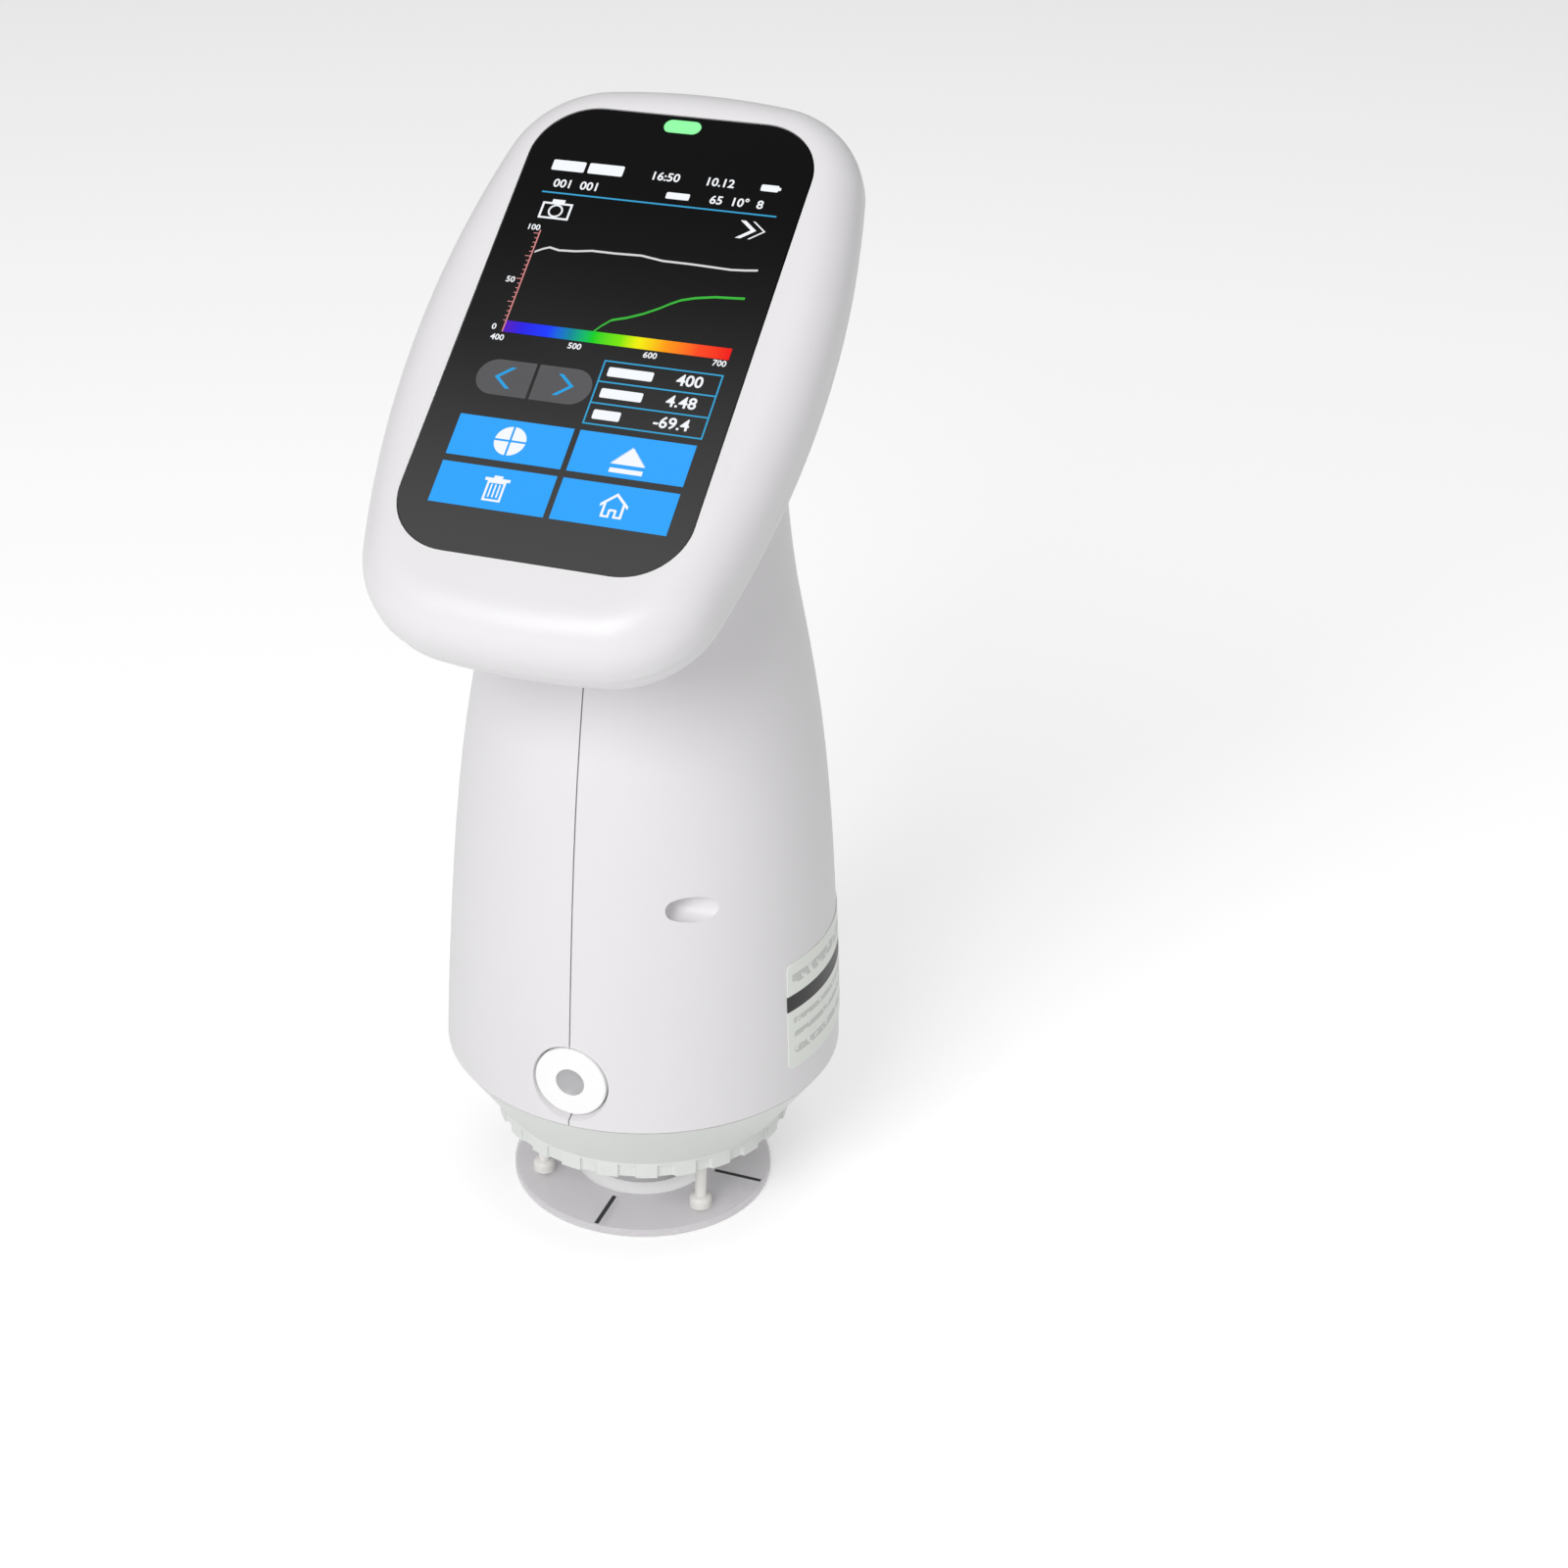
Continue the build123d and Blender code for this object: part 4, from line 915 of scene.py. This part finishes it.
    def _house(self, shape: Shape, centre: Point, base: float) -> None:
        """Add the outline of a house: its roof, and the walls and step on each side of a door."""
        u, v = centre
        high = self.relief
        wall, door, foot = 1.7, 0.55, v - 2.4
        roof = [(u - 2.5, v - 0.1), (u, v + 2.2), (u + 2.5, v - 0.1)]
        shape.ribbon(roof, (0.0, 0.65), base, high)
        for side in (-1, 1):
            outer = u + side * wall
            inner = u + side * door
            shape.panel((outer - 0.22, foot), (outer + 0.22, v + 0.4), base, high)
            shape.panel((inner - 0.2, foot), (inner + 0.2, v - 0.8), base, high)
            start, end = sorted((outer, inner))
            shape.panel((start, foot), (end, foot + 0.4), base, high)
        shape.panel((u - door, v - 1.1), (u + door, v - 0.7), base, high)

    def graph(self, shop: Workshop) -> None:
        """Axis with its ticks, the two curves and the band of the spectrum."""
        base, high = Layer.TILE.value, self.relief
        (left, low), (right, top) = self.spectrum
        band = Shape()
        band.panel((left, low), (right, top), base, high)
        colours = Spectrum("screen_spectrum", left * MM, right * MM)
        self._done(band, "screen_spectrum", colours, shop)
        axis = Shape()
        half = self.axis_width / 2
        axis.panel((left - half, low), (left + half, self.axis_top), base + high, high)
        half = self.tick_width / 2
        for k in range(self.tick_count):
            length = 1.1 if k % 5 == 4 else 0.6
            height = top + k
            axis.panel((left - length, height - half), (left, height + half), base + high, high)
        self._done(axis, "screen_axis", Glow("screen_pink", shade("d68a8a")), shop)
        white = Shape()
        white.ribbon(self.reflectance, (0.0, 0.42), Layer.MARK.value, high)
        self._done(white, "screen_white_curve", Glow("screen_pale", shade("dcdcdc")), shop)
        green = Shape()
        green.ribbon(self.sample, (0.0, 0.5), Layer.MARK.value, high)
        self._done(green, "screen_green_curve", Glow("screen_green", shade("3cb83c")), shop)

    def readout(self, shop: Workshop) -> None:
        """Blue outlines of the table and the line under the header."""
        (left, low), (right, top) = self.table
        base, high = Layer.TILE.value, self.relief
        shape = Shape()
        width = self.line_width
        shape.frame((left, low), (right, top), width, base, high)
        step = (top - low) / 3
        for k in (1, 2):
            foot = low + step * k - width / 2
            shape.panel((left + width, foot), (right - width, foot + width), base, high)
        shape.panel(*self.header_line, base, high)
        self._done(shape, "screen_table_lines", Glow("screen_cyan", shade("3ba7d8")), shop)

    def arrows(self, shop: Workshop) -> None:
        """Grey pill in two halves with a blue arrow on each."""
        base, high = Layer.TILE.value, self.relief
        pill = Shape()
        low, top = self.pill_rows
        for outer, inner in self.pill_ends:
            left, right = sorted((outer, inner))
            pill.panel((left, low), (right, top), base, high, self.pill_corner)
            reach = math.copysign(self.pill_corner * 1.3, outer - inner)
            left, right = sorted((inner, inner + reach))
            pill.panel((left, low), (right, top), base, high)
        self._done(pill, "screen_pill", Glow("screen_grey", shade("5c5c5e")), shop)
        arrow = Shape()
        top, middle, low = self.arrow_rows
        for centre, reach in zip(self.arrow_centres, (-self.arrow_reach, self.arrow_reach)):
            line = [(centre - reach, top), (centre + reach, middle), (centre - reach, low)]
            arrow.ribbon(line, (self.arrow_width, 0.0), Layer.MARK.value + high, high)
        self._done(arrow, "screen_arrows", Glow("screen_cyan_bright", shade("2aa4e8")), shop)

    def header(self, shop: Workshop) -> None:
        """Figures, plain bars for words, the battery, the double arrow and the camera picture."""
        base, high = Layer.MARK.value, self.relief
        shape = Shape()
        for words, size, centre in self.figures:
            shape.letters(words, size, centre, base, high)
        for low, top in self.word_bars:
            shape.panel(low, top, base, high, self.bar_corner)
        battery, cap = (((18.3, 32.9), (21.6, 34.3)), ((21.6, 33.3), (22.0, 33.9)))
        shape.panel(*battery, base, high, self.bar_corner)
        shape.panel(*cap, base, high)
        for left, width in ((17.2, 1.0), (19.2, 0.4)):
            line = [(left, 26.2), (left + 2.4, 24.3), (left, 22.4)]
            shape.ribbon(line, (width, 0.0), base, high)
        stroke = 0.4
        shape.frame((-20.6, 22.0), (-14.8, 25.6), stroke, base, high)
        shape.panel((-18.9, 25.6), (-16.5, 26.3), base, high)
        self._ring(shape, (-17.7, 23.8), 1.25, stroke, base)
        self._done(shape, "screen_figures", Glow("screen_white", shade("f8fbff")), shop)

    def _ring(
        self, shape: Shape, centre: Point, radius: float, width: float, base: float
    ) -> None:
        """Add a ring from a closed row of small discs.

        Args:
            shape: the shape that it goes into.
            centre: its middle.
            radius: from its middle to the middle of its line.
            width: width of its line.
            base: height of its underside.
        """
        sides = 24
        chord_middle = radius * math.cos(math.pi / sides)
        for k in range(sides):
            angle = 2 * math.pi * (k + 0.5) / sides
            spot = (
                centre[0] + chord_middle * math.cos(angle),
                centre[1] + chord_middle * math.sin(angle))
            shape.disc(spot, width / 2, base, self.relief, 8)

    def build(self, shop: Workshop) -> None:
        """Dress the nodes and build the screen, layer by layer."""
        low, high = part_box("cover_glass")
        # The grey chin colour of the glass is a painted reflection.
        glass = PaintedReflectionGlass("cover_glass_painted_reflection", shade("020202"), shade("484848"), low[2], high[2])
        shop.dress({**self.finishes, "cover_glass": glass})
        for layer in (self.tiles, self.icons, self.graph, self.readout, self.arrows, self.header):
            layer(shop)


@dataclass(frozen=True)
class Lamp:
    """Soft square lamp."""

    name: str
    place: Point3
    power: float
    size: float


@dataclass
class Studio:
    """Pale floor, soft lamps, plain world and the camera."""

    camera_place: Point3 = (0.1743, -0.4513, 0.3410)
    look: Point3 = (-0.3251, 0.8249, -0.4624)
    lens: float = 64.33
    shift: float = 0.10
    aim: Point3 = (0.0, 0.0, 0.10)
    floor_size: float = 6.0
    floor_height: float = -0.0002
    floor_glow: float = 0.34
    world_strength: float = 0.37
    lamps: tuple[Lamp, ...] = (
        Lamp("key_lamp", (-0.15, -1.2, 0.85), 11.3, 0.7),
        Lamp("top_lamp", (0.1, 0.2, 1.5), 3.6, 1.2),
        Lamp("fill_lamp", (1.1, -0.5, 0.5), 1.3, 0.9),
    )

    def camera(self) -> None:
        """Place the camera and make it the scene's."""
        data = bpy.data.cameras.new("view")
        data.lens = self.lens
        data.sensor_width = 36.0
        data.shift_x = self.shift
        data.clip_start = 0.01
        item = bpy.data.objects.new("view", data)
        item.location = self.camera_place
        item.rotation_euler = Vector(self.look).to_track_quat("-Z", "Y").to_euler()
        bpy.context.scene.collection.objects.link(item)
        bpy.context.scene.camera = item

    def light(self, lamp: Lamp) -> None:
        """Add one lamp that faces the object's middle.

        Args:
            lamp: its name, place, power and size.
        """
        data = bpy.data.lights.new(lamp.name, "AREA")
        data.energy = lamp.power
        data.size = lamp.size
        item = bpy.data.objects.new(lamp.name, data)
        item.location = lamp.place
        aim = Vector(self.aim) - Vector(lamp.place)
        item.rotation_euler = aim.to_track_quat("-Z", "Y").to_euler()
        bpy.context.scene.collection.objects.link(item)

    def seen_white(self, recipe: Recipe) -> Sock:
        """Mask of the rays that should meet a white background."""
        rays = [recipe.node("ShaderNodeLightPath", output=name) for name in (
            "Is Camera Ray", "Is Glossy Ray", "Is Transmission Ray")]
        return (rays[0] + rays[1] + rays[2]).ramp(0.0, 1.0)

    def floor(self) -> None:
        """Pale floor under the object that keeps its shadow."""
        recipe = Recipe("floor_pale")
        grain = recipe.noise(400.0, 2.0)
        recipe.set(Base_Color=recipe.tint(grain, (0.90, 0.90, 0.90, 1.0), (0.92, 0.92, 0.92, 1.0)))
        glow = recipe.tint(self.seen_white(recipe), BLACK, scaled(WHITE, self.floor_glow))
        recipe.set(Emission_Color=glow, Emission_Strength=1.0)
        recipe.set(Roughness=0.9, Specular_IOR_Level=0.0)
        shape = bmesh.new()
        bmesh.ops.create_grid(shape, x_segments=1, y_segments=1, size=self.floor_size / 2)
        data = bpy.data.meshes.new("floor")
        shape.to_mesh(data)
        shape.free()
        data.materials.append(recipe.material)
        data.transform(Matrix.Translation((0.0, 0.0, self.floor_height)))
        item = bpy.data.objects.new("floor", data)
        bpy.context.scene.collection.objects.link(item)

    def world(self) -> None:
        """Plain world: white where it is seen, weaker as light."""
        world = bpy.data.worlds.new("studio")
        world.use_nodes = True
        nodes = Nodes(world.node_tree)
        seen = nodes.node("ShaderNodeLightPath", output="Is Camera Ray")
        inputs = {"Value": seen, "To Min": self.world_strength, "To Max": 1.0}
        back = world.node_tree.nodes["Background"]
        nodes.join(WHITE, back.inputs["Color"])
        nodes.join(nodes.node("ShaderNodeMapRange", None, inputs), back.inputs["Strength"])
        bpy.context.scene.world = world

    def build(self) -> None:
        """Set up everything round the object."""
        self.camera()
        self.floor()
        self.world()
        for lamp in self.lamps:
            self.light(lamp)
        bpy.context.scene.view_settings.view_transform = "Standard"
        LOG.info("studio is set")


def main() -> None:
    """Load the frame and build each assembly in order."""
    logging.basicConfig(level=logging.INFO, format="%(name)s: %(message)s")
    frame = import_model()
    shop = Workshop(frame["nodes"])
    for assembly in (Foot(), Optics(), Handle(), ScreenHead()):
        assembly.build(shop)
    Studio().build()


if __name__ == "__main__":
    main()
